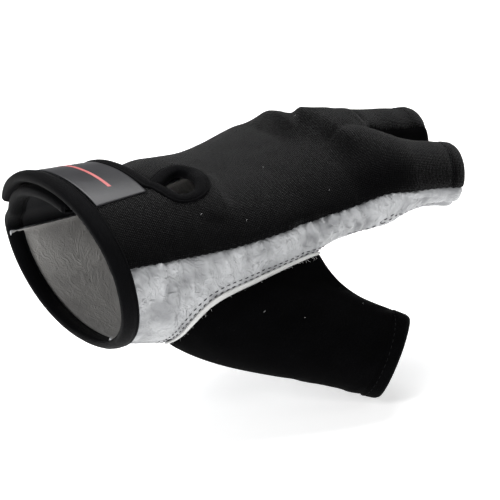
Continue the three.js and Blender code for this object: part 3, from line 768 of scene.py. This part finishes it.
def buildSleeve():
    panel = newPanel()
    _, loop = holeLoop()
    t = np.linspace(0, 1, 56)
    points = sleevePoint(loop[None] + 0 * t[:, None, None], t[:, None] + 0 * loop[None, :, 0])
    kind = kindGrid(*points.shape[:2], first=sewn, last=hemmed)
    kind[1:-1] = 0
    along = np.cumsum(np.linalg.norm(np.diff(points, axis=0, prepend=points[:1]), axis=2), 0)
    addGrid(panel, points, along, kind, closed=True)
    panel = joinPanel(panel)
    lift, distance, _ = seamLift(panel, "knit")
    lift += hemLift(panel, 0.25, 6.0)
    lift += creaseLift(panel["x"], panel["v"], {
        "seed": 31, "count": 26, "x": (4, 60), "v": (0, 110), "turn": 60, "spread": 45, "long": (6, 18),
        "wide": (1.6, 3.6), "deep": 0.3, "bow": 1.5})
    dress(panel, lift, distance, thickness["thumb"])
    return makeShell("thumb_cloth", panel, thickness["thumb"]), panel


def buildStrip(k, name):
    panel = newPanel()
    turn = mix(form["stripTop"], -form["stripTop"], np.linspace(0, 1, 25))[None]
    side = []
    for own, rows in ((k, fingerRows(k)[::-1]), (k + 1, fingerRows(k + 1)[1:])):
        x = rows[:, None]
        here = finger(own, x, 180 - turn if own == k else turn)
        across = meet(k, x + 0 * turn, 0, 180 - turn + 0 * x, turn + 0 * x)
        side.append(here + (across if own == k else -across))
    points = np.vstack(side)
    kind = kindGrid(*points.shape[:2], first=hemmed, last=hemmed, left=sewn, right=sewn)
    along = np.cumsum(np.linalg.norm(np.diff(points, axis=0, prepend=points[:1]), axis=2), 0)
    addGrid(panel, points, along, kind, flip=True)
    panel = joinPanel(panel)
    lift, distance, _ = seamLift(panel, "knit")
    dress(panel, lift + hemLift(panel, 0.2), distance, thickness["side"])
    return makeShell(name, panel, thickness["side"]), panel


def layered(x, deg, layers, of):
    out = np.zeros(x.shape + (3,))
    for layer in set(layers):
        mine = np.array([q == layer for q in layers])
        out[mine] = of(x[mine], deg[mine], layer)
    return out


tapeStyle = {"leg": 4.6, "slotLeg": 3.4}


def foldedTape(name, path, layers, cloth, leg):
    x, deg = path[:, 0], path[:, 1]
    cloth = np.broadcast_to(np.asarray(cloth, float), x.shape)
    scale = np.array([1, form["mmPerDegree"]])
    flow = np.gradient(path * scale, axis=0)
    for _ in range(6):
        flow[1:-1] = (flow[:-2] + 2 * flow[1:-1] + flow[2:]) / 4
    way = unit(flow)
    base = {}
    for q in (1, 0.75, 0.5, 0.25, 0):
        xq, dq = x - way[:, 1] * leg * q, deg + way[:, 0] * leg * q / scale[1]
        base[q] = (layered(xq, dq, layers, hand), layered(xq, dq, layers, handNormal))

    def over(q, up):
        low = max((s for s in base if s <= q), default=0)
        high = min((s for s in base if s >= q), default=1)
        t = 0 if high == low else (q - low) / (high - low)
        p = mix(base[low][0], base[high][0], t)
        n = unit(mix(base[low][1], base[high][1], t))
        return p + n * np.asarray(up, float)[..., None]

    edge, normal = base[0]
    out = edge - base[0.25][0]
    out = unit(out - normal * (out * normal).sum(1, keepdims=True))
    outer = [(1, 0.02), (0.985, 0.4), (0.93, 0.66), (0.84, 0.78), (0.79, 0.6), (0.74, 0.82), (0.5, 1.05),
             (0.25, 1.0), (0.06, 0.72)]
    rings = [over(q, 0 * x + up) for q, up in outer]
    for a in (50, 25, 0, -25, -50):
        c, s = math.cos(math.radians(a)), math.sin(math.radians(a))
        rings.append(edge - normal * (cloth / 2)[:, None] + out * (0.95 * c)
                     + normal * ((cloth / 2 + 0.62) * s)[:, None])
    rings += [over(q, -cloth - up) for q, up in outer[::-1]]
    inner = [over(q, 0.05 - cloth) for q in (0.97, 0.5, 0.06)]
    inner += [over(q, 0 * x - 0.05) for q in (0.06, 0.5, 0.97)]
    steps = [np.diff(np.stack(face, 1), axis=1) for face in (rings, inner)]
    faceWidths = [np.linalg.norm(q, axis=2).sum(1).mean() for q in steps]
    wide = sum(faceWidths) / 2000
    long = np.linalg.norm(np.diff(edge, axis=0), axis=1).sum() / 1000
    return ringSolid(name, np.stack(rings + inner, 1)[:, ::-1]), (wide, long, wide * long)


def resample(path, step):
    s = lengthsAlong(path * [1, form["mmPerDegree"]])
    return atLengths(np.linspace(0, s[-1], int(s[-1] / step) + 1), s, path)


def buildCuffTape():
    tabPart = resample(np.array([(0, cuts["tabEnd"] + 1.5), (0, 9.5)]), 0.9)
    rest = resample(np.array([(0, 9.5), (0, form["outerSeam"] - 360)]), 0.9)[1:]
    flap = resample(np.array([(0, form["outerSeam"]), (0, 66)]), 0.9)[1:]
    path = np.vstack([tabPart, rest, flap - [0, 360]])
    layers = ["tab"] * len(tabPart) + [""] * len(rest) + ["flap"] * len(flap)
    path[len(tabPart) + len(rest):, 1] += 360
    flowPath = path.copy()
    flowPath[len(tabPart) + len(rest):, 1] -= 360
    parts = ((tabPart, "back"), (rest, "leather"), (flap, "back"))
    cloth = np.concatenate([np.full(len(part), thickness[sheet]) for part, sheet in parts])
    return foldedTape("cuff_binding", flowPath, layers, cloth, tapeStyle["leg"])


def buildSlotTape():
    far = slotFar[slotFar[:, 0] > tapeStyle["leg"] + 0.4]
    near = slotNear[slotNear[:, 0] > cuts["tabEdge"] + 0.3][::-1]
    corner = [(26, 67), (26, 100), (26, 141), (25.4, 145.5), (22.2, 148), (14, 148), (5.2, 148)]
    tabLine = roundPath(np.vstack([near[-1:], corner]), count=20)[1:]
    path = np.vstack([far, near[1:], tabLine])
    s = lengthsAlong(path * [1, form["mmPerDegree"]])
    t = np.linspace(0, s[-1], int(s[-1] / 0.6) + 1)
    dense = atLengths(t, s, path)
    layers = ["flap" if q < s[len(far) - 1] else "tab" for q in t]
    return foldedTape("keyhole_binding", dense, layers, thickness["back"], tapeStyle["slotLeg"])


def buildPatch(name, xs, degs, low, thick, slant=0.0):  # slant turns the end by the thumb, in degrees per mm
    panel = newPanel()
    x, t = np.meshgrid(np.linspace(*xs, 34), np.linspace(0, 1, 120), indexing="ij")
    deg = mix(degs[0] + slant * (x - xs[0]), degs[1], t)
    points = hand(x, deg, "tab") + handNormal(x, deg, "tab") * (low + thick)
    addGrid(panel, points, x, kindGrid(*points.shape[:2], hemmed, hemmed, hemmed, hemmed))
    panel = joinPanel(panel)
    dress(panel, 0 * panel["x"], panel["x"], thick)
    return makeShell(name, panel, thick, 0.2), panel


def buildWelt():
    top, loop = holeLoop()
    path = np.vstack([loop[-6:], top])
    panelNormal = unit((path - [0, 0, -6]) * [0, 1, 1])
    s = lengthsAlong(path)
    t = np.linspace(0, s[-1], int(s[-1] / 0.5) + 1)
    dense = atLengths(t, s, path)
    up = unit(atLengths(t, s, panelNormal))
    way = unit(np.gradient(dense, axis=0))
    up = unit(up - way * (up * way).sum(1, keepdims=True))
    side = np.cross(up, way)
    rng = np.random.default_rng(7)
    middle = np.sin(math.pi * np.clip(t / s[-1], 0, 1))**0.6
    radius = 0.45 + 0.55 * middle
    rings = []
    for a in np.linspace(0, 2 * math.pi, 15)[:-1]:
        rough = 1 + 0.07 * rng.standard_normal(len(t))
        rings.append(dense + up * (0.35 + radius * 0.6 * np.sin(a))[:, None]
                     + side * (radius * np.cos(a) * rough)[:, None])
    rings = np.stack(rings, 1)
    return ringSolid("thumb_edge", rings), dense, up, side


threads = {"long": 1.2, "pitch": 2.15, "radius": 0.19, "sink": 0.05, "rows": (1.5, 3.3),
           "ends": (115.6, 99.5)}
lint = {"welt": 260, "back": 18, "sleeve": 7, "radius": 0.05}


def surfaceOf(piece):
    corners = np.empty(len(piece.data.vertices) * 3)
    piece.data.vertices.foreach_get("co", corners)
    corners = corners.reshape(-1, 3) * 1000
    outer = [tuple(q.vertices) for q in piece.data.polygons if q.material_index == 0]
    return BVHTree.FromPolygons([Vector(q) for q in corners], outer)


def landed(surface, points):  # the nearest places on a surface, with its normals there
    found = [surface.find_nearest(Vector(q)) for q in points]
    return np.array([f[0] for f in found]), unit(np.array([f[1] for f in found]))


def evenly(path, step, start=0.0):
    s = lengthsAlong(path)
    return atLengths(np.arange(start, s[-1] - start, step), s, path)


def strands(name, spines, normals, radii, sides=6):  # closed threads, each along its own short spine
    spines, normals = np.asarray(spines, float), np.asarray(normals, float)
    count, m = spines.shape[:2]
    way = unit(np.gradient(spines, axis=1))
    across = unit(np.cross(way, normals))
    up = np.cross(across, way)
    turn = np.linspace(0, 2 * math.pi, sides, endpoint=False)
    ring = (across[:, :, None] * np.cos(turn)[:, None] + up[:, :, None] * np.sin(turn)[:, None])
    points = spines[:, :, None] + ring * np.broadcast_to(radii, (count, m))[:, :, None, None]
    index = np.arange(count * m * sides).reshape(count, m, sides)
    beyond = np.roll(index, -1, 2)
    walls = np.stack([index[:, :-1], beyond[:, :-1], beyond[:, 1:], index[:, 1:]], -1)
    faces = walls.reshape(-1, 4).tolist()
    faces += index[:, 0, ::-1].tolist() + index[:, -1].tolist()
    u = np.broadcast_to(np.arange(m)[None, :, None] * 0.4, (count, m, sides))
    v = np.broadcast_to(np.arange(sides) * 0.2, (count, m, sides))
    return newObject(name, points.reshape(-1, 3), faces, uv=np.stack([u, v], -1).reshape(-1, 2))


def stitchSpines(surface, path, pitch=None, long=None, start=0.6):
    pitch, long = pitch or threads["pitch"], long or threads["long"]
    middles = evenly(path, pitch, start)
    way = unit(np.gradient(middles, axis=0))
    spines, normals = [], []
    for t, lift in ((-0.5, -0.22), (-0.42, 0.0), (-0.2, 0.1), (0.2, 0.1), (0.42, 0.0), (0.5, -0.22)):
        at, normal = landed(surface, middles + way * (long * t))
        spines.append(at + normal * (lift - threads["sink"]))
        normals.append(normal)
    return np.stack(spines, 1), np.stack(normals, 1)


def stitchPiece(name, rows, radius=None):
    spines = np.concatenate([r[0] for r in rows])
    normals = np.concatenate([r[1] for r in rows])
    radius = radius or threads["radius"]
    return strands(name, spines, normals, np.array([0.3, 0.8, 1, 1, 0.8, 0.3]) * radius)


def beside(path, distance):  # a path in x and angle, moved to its left
    scale = np.array([1, form["mmPerDegree"]])
    way = unit(np.gradient(path * scale, axis=0))
    return path + np.stack([-way[:, 1], way[:, 0]], -1) * distance / scale


def alongSeam(x, columns, at, distance):  # a path on a panel, at a distance from its last column
    grid = at(x[:, None], columns[None])[0][:, ::-1]
    return np.array([atLengths(distance, lengthsAlong(row), row) for row in grid])


def fibres(name, roots, normals, ways, longs, seed, radius, curl=0.6):
    rng = np.random.default_rng(seed)
    count, m = len(roots), 5
    spines = [roots]
    flow = unit(ways)
    for _ in range(m - 1):
        flow = unit(flow + curl * 0.5 * rng.standard_normal((count, 3)))
        spines.append(spines[-1] + flow * (longs / (m - 1))[:, None])
    thin = np.array([1, 1, 0.9, 0.7, 0.3]) * radius
    return strands(name, np.stack(spines, 1), np.repeat(normals[:, None], m, 1) + 0.01, thin, sides=3)


# Materials. Every effect that two or more of them share is a node group
def newGroup(name, inputs, outputs):
    tree = bpy.data.node_groups.new(name, "ShaderNodeTree")
    for label, kind, value in inputs:
        socket = tree.interface.new_socket(label, in_out="INPUT", socket_type=kind)
        if value is not None:
            socket.default_value = value
    for label, kind in outputs:
        tree.interface.new_socket(label, in_out="OUTPUT", socket_type=kind)
    return tree, tree.nodes.new("NodeGroupInput"), tree.nodes.new("NodeGroupOutput")


def addNode(tree, kind, settings=None, **sockets):
    node = tree.nodes.new(kind)
    for key, value in (settings or {}).items():
        setattr(node, key, value)
    for key, value in sockets.items():
        socket = node.inputs[int(key[1:])] if key[0] == "i" and key[1:].isdigit() else node.inputs[key]
        if isinstance(value, bpy.types.NodeSocket):
            tree.links.new(value, socket)
        else:
            socket.default_value = value
    return node


def mathNode(tree, operation, a, b=0.0):
    return addNode(tree, "ShaderNodeMath", {"operation": operation}, i0=a, i1=b).outputs[0]


def times(tree, a, b):
    return mathNode(tree, "MULTIPLY", a, b)


def plus(tree, a, b):
    return mathNode(tree, "ADD", a, b)


def mixColour(tree, factor, a, b):
    node = tree.nodes.new("ShaderNodeMix")
    node.data_type = "RGBA"
    for socket, value in ((node.inputs[0], factor), (node.inputs[6], a), (node.inputs[7], b)):
        if isinstance(value, bpy.types.NodeSocket):
            tree.links.new(value, socket)
        else:
            socket.default_value = value
    return node.outputs[2]


def ramp(tree, value, low, high):
    return addNode(tree, "ShaderNodeMapRange", {"interpolation_type": "SMOOTHSTEP"}, i0=value, i1=low,
                   i2=high, i3=0.0, i4=1.0).outputs[0]


def buildKnit():  # rows of small loops in a sheet's own millimetres, with a slow variation over them
    tree, start, end = newGroup(
        "KnitCloth", [("Pitch", "NodeSocketFloat", 0.7), ("Depth", "NodeSocketFloat", 0.3)],
        [("Loops", "NodeSocketFloat"), ("Blotch", "NodeSocketFloat"), ("Normal", "NodeSocketVector")])
    uv = addNode(tree, "ShaderNodeUVMap", {"uv_map": "UVMap"}).outputs[0]
    parts = addNode(tree, "ShaderNodeSeparateXYZ", i0=uv)
    turn = mathNode(tree, "DIVIDE", 2 * math.pi, start.outputs["Pitch"])
    shift = addNode(tree, "ShaderNodeTexNoise", i0=uv, Scale=0.9, Detail=1.0).outputs[0]
    waves = []
    for slope in (0.9, -1.1):
        slanted = plus(tree, parts.outputs[0], times(tree, parts.outputs[1], slope))
        bent = plus(tree, times(tree, slanted, turn), times(tree, shift, 3.0))
        waves.append(mathNode(tree, "SINE", bent))
    fine = addNode(tree, "ShaderNodeTexNoise", i0=uv, Scale=2.6, Detail=3.0).outputs[0]
    loops = plus(tree, times(tree, times(tree, *waves), 0.7), times(tree, fine, 2.0))
    bump = addNode(tree, "ShaderNodeBump", Strength=start.outputs["Depth"], Distance=0.0002, Height=loops)
    blotch = addNode(tree, "ShaderNodeTexNoise", i0=uv, Scale=0.11, Detail=4.0).outputs[0]
    tree.links.new(loops, end.inputs["Loops"])
    tree.links.new(blotch, end.inputs["Blotch"])
    tree.links.new(bump.outputs[0], end.inputs["Normal"])
    return tree


def buildHide():  # soft leather: long creases with calm areas between them, fine crinkles and a slight grain
    tree, start, end = newGroup(
        "SoftHide", [("Crush", "NodeSocketFloat", 0.6), ("Grain", "NodeSocketFloat", 0.25)],
        [("Lines", "NodeSocketFloat"), ("Blotch", "NodeSocketFloat"), ("Normal", "NodeSocketVector")])
    ridged = {"noise_type": "RIDGED_MULTIFRACTAL"}
    uv = addNode(tree, "ShaderNodeUVMap", {"uv_map": "UVMap"}).outputs[0]
    warp = addNode(tree, "ShaderNodeTexNoise", i0=uv, Scale=0.16, Detail=2.0)
    shift = addNode(tree, "ShaderNodeVectorMath", {"operation": "SCALE"}, i0=warp.outputs["Color"], Scale=7.0)
    bent = addNode(tree, "ShaderNodeVectorMath", {"operation": "ADD"}, i0=uv, i1=shift.outputs[0]).outputs[0]
    drawn = addNode(tree, "ShaderNodeMapping", i0=bent, Scale=(0.30, 0.09, 1.0)).outputs[0]
    crushed = addNode(tree, "ShaderNodeMapping", i0=bent, Scale=(0.8, 0.45, 1.0)).outputs[0]
    long = addNode(tree, "ShaderNodeTexNoise", ridged, i0=drawn, Scale=1.0, Detail=2.0).outputs[0]
    short = addNode(tree, "ShaderNodeTexNoise", ridged, i0=crushed, Scale=1.0, Detail=3.0).outputs[0]
    blotch = addNode(tree, "ShaderNodeTexNoise", i0=uv, Scale=0.09, Detail=3.0).outputs[0]
    crinkled = ramp(tree, blotch, 0.42, 0.62)
    crushedLines = times(tree, times(tree, short, plus(tree, crinkled, 0.35)), 0.4)
    lines = plus(tree, times(tree, long, 0.5), crushedLines)
    grain = addNode(tree, "ShaderNodeTexVoronoi", Vector=uv, Scale=2.4).outputs[0]
    coarse = addNode(tree, "ShaderNodeBump", Strength=start.outputs["Crush"], Distance=0.0018, Height=lines)
    fine = addNode(tree, "ShaderNodeBump", Strength=start.outputs["Grain"], Distance=0.0001, Height=grain,
                   Normal=coarse.outputs[0])
    tree.links.new(lines, end.inputs["Lines"])
    tree.links.new(blotch, end.inputs["Blotch"])
    tree.links.new(fine.outputs[0], end.inputs["Normal"])
    return tree


def newMaterial(name, values):
    material = bpy.data.materials.new(name)
    material.use_nodes = True
    tree = material.node_tree
    shader = tree.nodes["Principled BSDF"]
    for key, value in values.items():
        shader.inputs[key].default_value = value
    return material, tree, shader


def placeGroup(tree, group, **values):
    node = tree.nodes.new("ShaderNodeGroup")
    node.node_tree = group
    for key, value in values.items():
        node.inputs[key].default_value = value
    return node


def knitMaterial(name, values, dark, light, pitch, depth, rough):
    material, tree, shader = newMaterial(name, values)
    knit = placeGroup(tree, knitCloth, Pitch=pitch, Depth=depth)
    # The base colour is lighter on the crests of the knit loops and darker in the gaps between them, a
    # painted highlight and painted shade. This is multiplied by a slow random blotch of tone.
    paintedLoopLightAndBlotch = times(tree, knit.outputs["Blotch"], times(tree, ramp(tree, knit.outputs["Loops"], 0.5, 1.7), 1.7))
    tree.links.new(mixColour(tree, paintedLoopLightAndBlotch, dark, light), shader.inputs["Base Color"])
    uneven = plus(tree, times(tree, knit.outputs["Blotch"], 0.16), rough - 0.08)
    tree.links.new(uneven, shader.inputs["Roughness"])
    tree.links.new(knit.outputs["Normal"], shader.inputs["Normal"])
    return material


def hideMaterial(name, values, dark, light, crush, grain, rough):
    material, tree, shader = newMaterial(name, values)
    hide = placeGroup(tree, softHide, Crush=crush, Grain=grain)
    # The base colour mixes a random blotch of tone with the crease lines. Those lines are lighter along the
    # raised ridges, a painted highlight.
    toneAndPaintedRidgeHighlight = plus(tree, times(tree, ramp(tree, hide.outputs["Blotch"], 0.35, 0.6), 0.5),
               times(tree, hide.outputs["Lines"], 0.5))
    tree.links.new(mixColour(tree, toneAndPaintedRidgeHighlight, dark, light), shader.inputs["Base Color"])
    uneven = plus(tree, times(tree, hide.outputs["Blotch"], 0.2), rough - 0.1)
    tree.links.new(uneven, shader.inputs["Roughness"])
    tree.links.new(hide.outputs["Normal"], shader.inputs["Normal"])
    return material


knitCloth, softHide = buildKnit(), buildHide()
finish = {
    "neoprene": knitMaterial("NeopreneKnit",
                             {"Sheen Weight": 0.16, "Sheen Roughness": 0.35, "Specular IOR Level": 0.02},
                             (0.0002, 0.0002, 0.0003, 1), (0.0032, 0.0032, 0.0037, 1), 1.1, 0.8, 0.6),
    "stretch": knitMaterial("StretchKnit", {"Specular IOR Level": 0.01},
                            (0.0006, 0.0006, 0.0007, 1), (0.0034, 0.0034, 0.0038, 1), 0.8, 0.4, 0.7),
    "lining": knitMaterial("KnitLining", {"Sheen Weight": 0.05, "Specular IOR Level": 0.1},
                           (0.006, 0.006, 0.007, 1), (0.016, 0.016, 0.018, 1), 0.8, 0.5, 0.8),
    "tape": knitMaterial("BindingTape",
                         {"Sheen Weight": 0.02, "Sheen Roughness": 0.3, "Specular IOR Level": 0.03},
                         (0.001, 0.001, 0.0013, 1), (0.005, 0.005, 0.006, 1), 0.45, 0.5, 0.55),
    "leather": hideMaterial("PaleLeather", {"Coat Weight": 0.12, "Coat Roughness": 0.3},
                            (0.25, 0.255, 0.265, 1), (0.68, 0.69, 0.705, 1), 1.0, 0.3, 0.38),
    "flesh": hideMaterial("LeatherFleshSide", {"Sheen Weight": 0.1},
                          (0.36, 0.35, 0.34, 1), (0.52, 0.51, 0.49, 1), 0.3, 0.7, 0.85),
    "welt": hideMaterial("RawEdge", {"Specular IOR Level": 0.2},
                         (0.6, 0.6, 0.59, 1), (0.8, 0.8, 0.79, 1), 0.2, 0.8, 0.8),
    "label": hideMaterial("LabelPanel", {"Specular IOR Level": 0.3},
                          (0.018, 0.018, 0.021, 1), (0.028, 0.028, 0.032, 1), 0.05, 0.1, 0.4),
    "stripe": hideMaterial("LabelStripe", {"Specular IOR Level": 0.3},
                           (0.55, 0.14, 0.14, 1), (0.66, 0.20, 0.20, 1), 0.05, 0.1, 0.5),
    "hook": knitMaterial("HookAndLoop", {}, (0.006, 0.006, 0.006, 1), (0.02, 0.02, 0.02, 1), 1.1, 1.0, 0.9),
    "blackThread": knitMaterial("BlackThread", {"Specular IOR Level": 0.1}, (0.002, 0.002, 0.0025, 1),
                                (0.006, 0.006, 0.007, 1), 0.3, 0.5, 0.7),
    "thread": knitMaterial("DarkThread", {}, (0.03, 0.03, 0.035, 1), (0.07, 0.07, 0.075, 1), 0.3, 0.5, 0.7),
    "fibre": hideMaterial("WhiteFibre", {}, (0.6, 0.6, 0.6, 1), (0.85, 0.85, 0.85, 1), 0.1, 0.1, 0.8),
}


def setFinish(piece, *names):
    for name in names:
        piece.data.materials.append(finish[name])


def settle(piece, slotName, *nodes):
    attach(piece, "root")
    if nodes:
        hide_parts(*nodes)


back, backPanel = buildBack()
setFinish(back, "neoprene", "lining")
settle(back, "neoprene", "back_panel")
side, sidePanel = buildSide()
setFinish(side, "leather", "flesh")
settle(side, "pale_leather", "side_panel")
palm, palmPanel = buildPalm()
setFinish(palm, "leather", "flesh")
settle(palm, "pale_leather", "palm_panel")
sleeve, sleevePanel = buildSleeve()
setFinish(sleeve, "stretch", "lining")
settle(sleeve, "stretch_cloth", "thumb_sleeve")
print("sheets built")
sheets = [(back, backPanel["pattern"], "stretched"), (side, sidePanel["pattern"], "gathered"),
          (palm, palmPanel["pattern"], "stretched"), (sleeve, sleevePanel["pattern"], "stretched")]
for k, node in enumerate(("strip_index_middle", "strip_middle_ring", "strip_ring_little")):
    strip, stripPanel = buildStrip(k, "finger_" + node)
    sheets.append((strip, stripPanel["pattern"], "folded"))
    setFinish(strip, "stretch", "lining")
    settle(strip, "stretch_cloth", node)
cuff, cuffPattern = buildCuffTape()
setFinish(cuff, "tape")
settle(cuff, "binding_tape", "cuff_tape")
slotTape, slotPattern = buildSlotTape()
sheets += [(cuff, cuffPattern, "folded"), (slotTape, slotPattern, "folded")]
setFinish(slotTape, "tape")
settle(slotTape, "binding_tape", "keyhole_tape")
label, _ = buildPatch("label_panel", (5.2, 22.2), (52.4, 138), 0.1, thickness["label"], 0.3)
setFinish(label, "label", "label")
settle(label, "label_panel", "label_patch")
stripe, _ = buildPatch("label_stripe", (13.3, 14.3), (66, 126), 0.5, 0.16)
setFinish(stripe, "stripe", "stripe")
settle(stripe, "label_panel")
closure, _ = buildPatch("hook_and_loop", (6.4, 19.8), (88, 138), -3.9, 2.0)
setFinish(closure, "hook", "hook")
settle(closure, "hook_and_loop", "closure_patch")
welt, weltPath, weltUp, weltSide = buildWelt()
setFinish(welt, "welt")
settle(welt, "welt_cord", "thumb_welt")
print("tapes, label and edge built")

# Stitches lie on the dressed sheets
sideSurface, palmSurface, backSurface = surfaceOf(side), surfaceOf(palm), surfaceOf(back)
sleeveSurface = surfaceOf(sleeve)
darkRows = []
for distance in threads["rows"]:
    row = beside(resample(holeTop, 0.5), distance)
    row = row[(row[:, 1] < alongTable(cuts["sideSeam"], row[:, 0], "deg") - 5)]
    darkRows.append(stitchSpines(sideSurface, skin(0, row[:, 0], row[:, 1], 0), start=0.4 + distance / 4))
    low = beside(resample(holeBottom, 0.5), -distance)
    darkRows.append(stitchSpines(palmSurface, skin(0, low[:, 0], low[:, 1], 0), start=2.0))
sideColumns = np.linspace(0, panelColumns["side"], 61)
for distance, last in zip(threads["rows"], threads["ends"]):
    row = alongSeam(np.arange(81, last, 0.8), sideColumns, sidePoint, distance)
    darkRows.append(stitchSpines(sideSurface, row))
stitches = stitchPiece("leather_stitches", darkRows)
setFinish(stitches, "thread")
settle(stitches, "stretch_cloth")
blackRows = []
for surface, rows in ((sleeveSurface, [sleevePoint(np.vstack([holeLoop()[1], holeLoop()[1][:1]]), 0.84)]),
                      (backSurface, [fan(k, np.linspace(0.04, 0.96, 60), rimOf(k) - 4.4 + np.zeros(60), 0, 1)
                                     for k in range(4)])):
    blackRows += [stitchSpines(surface, row, 2.0, 1.2) for row in rows]
hemStitches = stitchPiece("hem_stitches", blackRows, 0.14)
setFinish(hemStitches, "blackThread")
settle(hemStitches, "stretch_cloth")

# White fibres stand out of the raw edge, and a few lie on the black cloth
rng = np.random.default_rng(12)
pick = rng.integers(8, len(weltPath) - 4, lint["welt"])
low = -weltSide[pick]
roots = weltPath[pick] + low * 0.75 + weltUp[pick] * rng.uniform(0, 0.5, (len(pick), 1))
ways = low + weltUp[pick] * 0.4 + 0.7 * rng.standard_normal((len(pick), 3))
fuzz = fibres("edge_fibres", roots, weltUp[pick], ways, rng.uniform(0.4, 1.9, len(pick)), 5, lint["radius"])
setFinish(fuzz, "fibre")
settle(fuzz, "welt_cord")
spots = []
for surface, panel, count in ((backSurface, backPanel, lint["back"]),
                              (sleeveSurface, sleevePanel, lint["sleeve"])):
    chosen = panel["points"][rng.integers(0, len(panel["points"]), count)]
    spots.append(landed(surface, chosen))
roots, normals = np.concatenate([q[0] for q in spots]), np.concatenate([q[1] for q in spots])
ways = np.cross(normals, rng.standard_normal((len(roots), 3)))
longs = rng.uniform(0.3, 1.0, len(roots))
specks = fibres("lint", roots + normals * 0.08, normals, ways, longs, 9, 0.045, 0.35)
setFinish(specks, "fibre")
settle(specks, "welt_cord")
print("stitches and fibres built")

# The sheets built above are kept in a list with the size and area of each one's own smooth pattern
print("sheets listed")


# The camera stands where the photograph was taken from
view = {"azimuth": -31.1, "elevation": 20.3, "roll": -8.1, "distance": 0.56,
        "target": (0.0567, -0.01707, -0.01063), "lens": 127.6, "sensor": 36}
az, el, roll = (math.radians(view[key]) for key in ("azimuth", "elevation", "roll"))
backward = Vector((math.sin(az) * math.cos(el), -math.cos(az) * math.cos(el), math.sin(el)))
right = Vector((0, 0, 1)).cross(backward).normalized()
upward = backward.cross(right)
rolledRight = right * math.cos(roll) + upward * math.sin(roll)
rolledUp = upward * math.cos(roll) - right * math.sin(roll)
camera = bpy.data.objects.new("camera", bpy.data.cameras.new("camera"))
bpy.context.collection.objects.link(camera)
camera.data.lens, camera.data.sensor_width = view["lens"], view["sensor"]
camera.data.clip_start, camera.data.clip_end = 0.01, 20
eye = Vector(view["target"]) + backward * view["distance"]
facing = Matrix((rolledRight, rolledUp, backward)).transposed().to_4x4()
camera.matrix_world = Matrix.Translation(eye) @ facing
bpy.context.scene.camera = camera
bpy.context.scene.view_settings.view_transform = "Standard"

# A pale studio: one large soft light over the fingers, one at the wrist, one from the camera's side
studio = {
    "lights": [
        ("overhead", (0.25, 0.25, 0.78), (0.05, 0, 0), 0.7, 10),
        ("wrist side", (-0.65, -0.22, 0.50), (0, 0, 0), 0.22, 3.2),
        ("front", (0.45, -0.75, 0.40), (0.05, 0, -0.02), 0.4, 1.0),
    ],
    "floorDrop": 0.0015,
    "floorGlow": 0.6,
    "world": 0.15,
}
for name, spot, aim, size, power in studio["lights"]:
    light = bpy.data.objects.new(name, bpy.data.lights.new(name, "AREA"))
    bpy.context.collection.objects.link(light)
    light.data.size, light.data.energy = size, power
    light.location = spot
    light.rotation_euler = (Vector(aim) - Vector(spot)).to_track_quat("-Z", "Y").to_euler()
world = bpy.context.scene.world or bpy.data.worlds.new("studio")
bpy.context.scene.world = world
world.use_nodes = True
world.node_tree.nodes["Background"].inputs[0].default_value = (1, 1, 1, 1)
world.node_tree.nodes["Background"].inputs[1].default_value = studio["world"]

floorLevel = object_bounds()[0][2] - studio["floorDrop"]
floorMesh = bpy.data.meshes.new("floor")
corners = [(x, y, floorLevel) for x, y in ((-3, -3), (3, -3), (3, 3), (-3, 3))]
floorMesh.from_pydata(corners, [], [(0, 1, 2, 3)])
floor = bpy.data.objects.new("floor", floorMesh)
bpy.context.collection.objects.link(floor)
floorMaterial, _, _ = newMaterial("PaleFloor", {
    "Base Color": (0.9, 0.9, 0.9, 1), "Roughness": 0.9,
    "Emission Color": (1, 1, 1, 1), "Emission Strength": studio["floorGlow"]})
floor.data.materials.append(floorMaterial)
print("studio set")
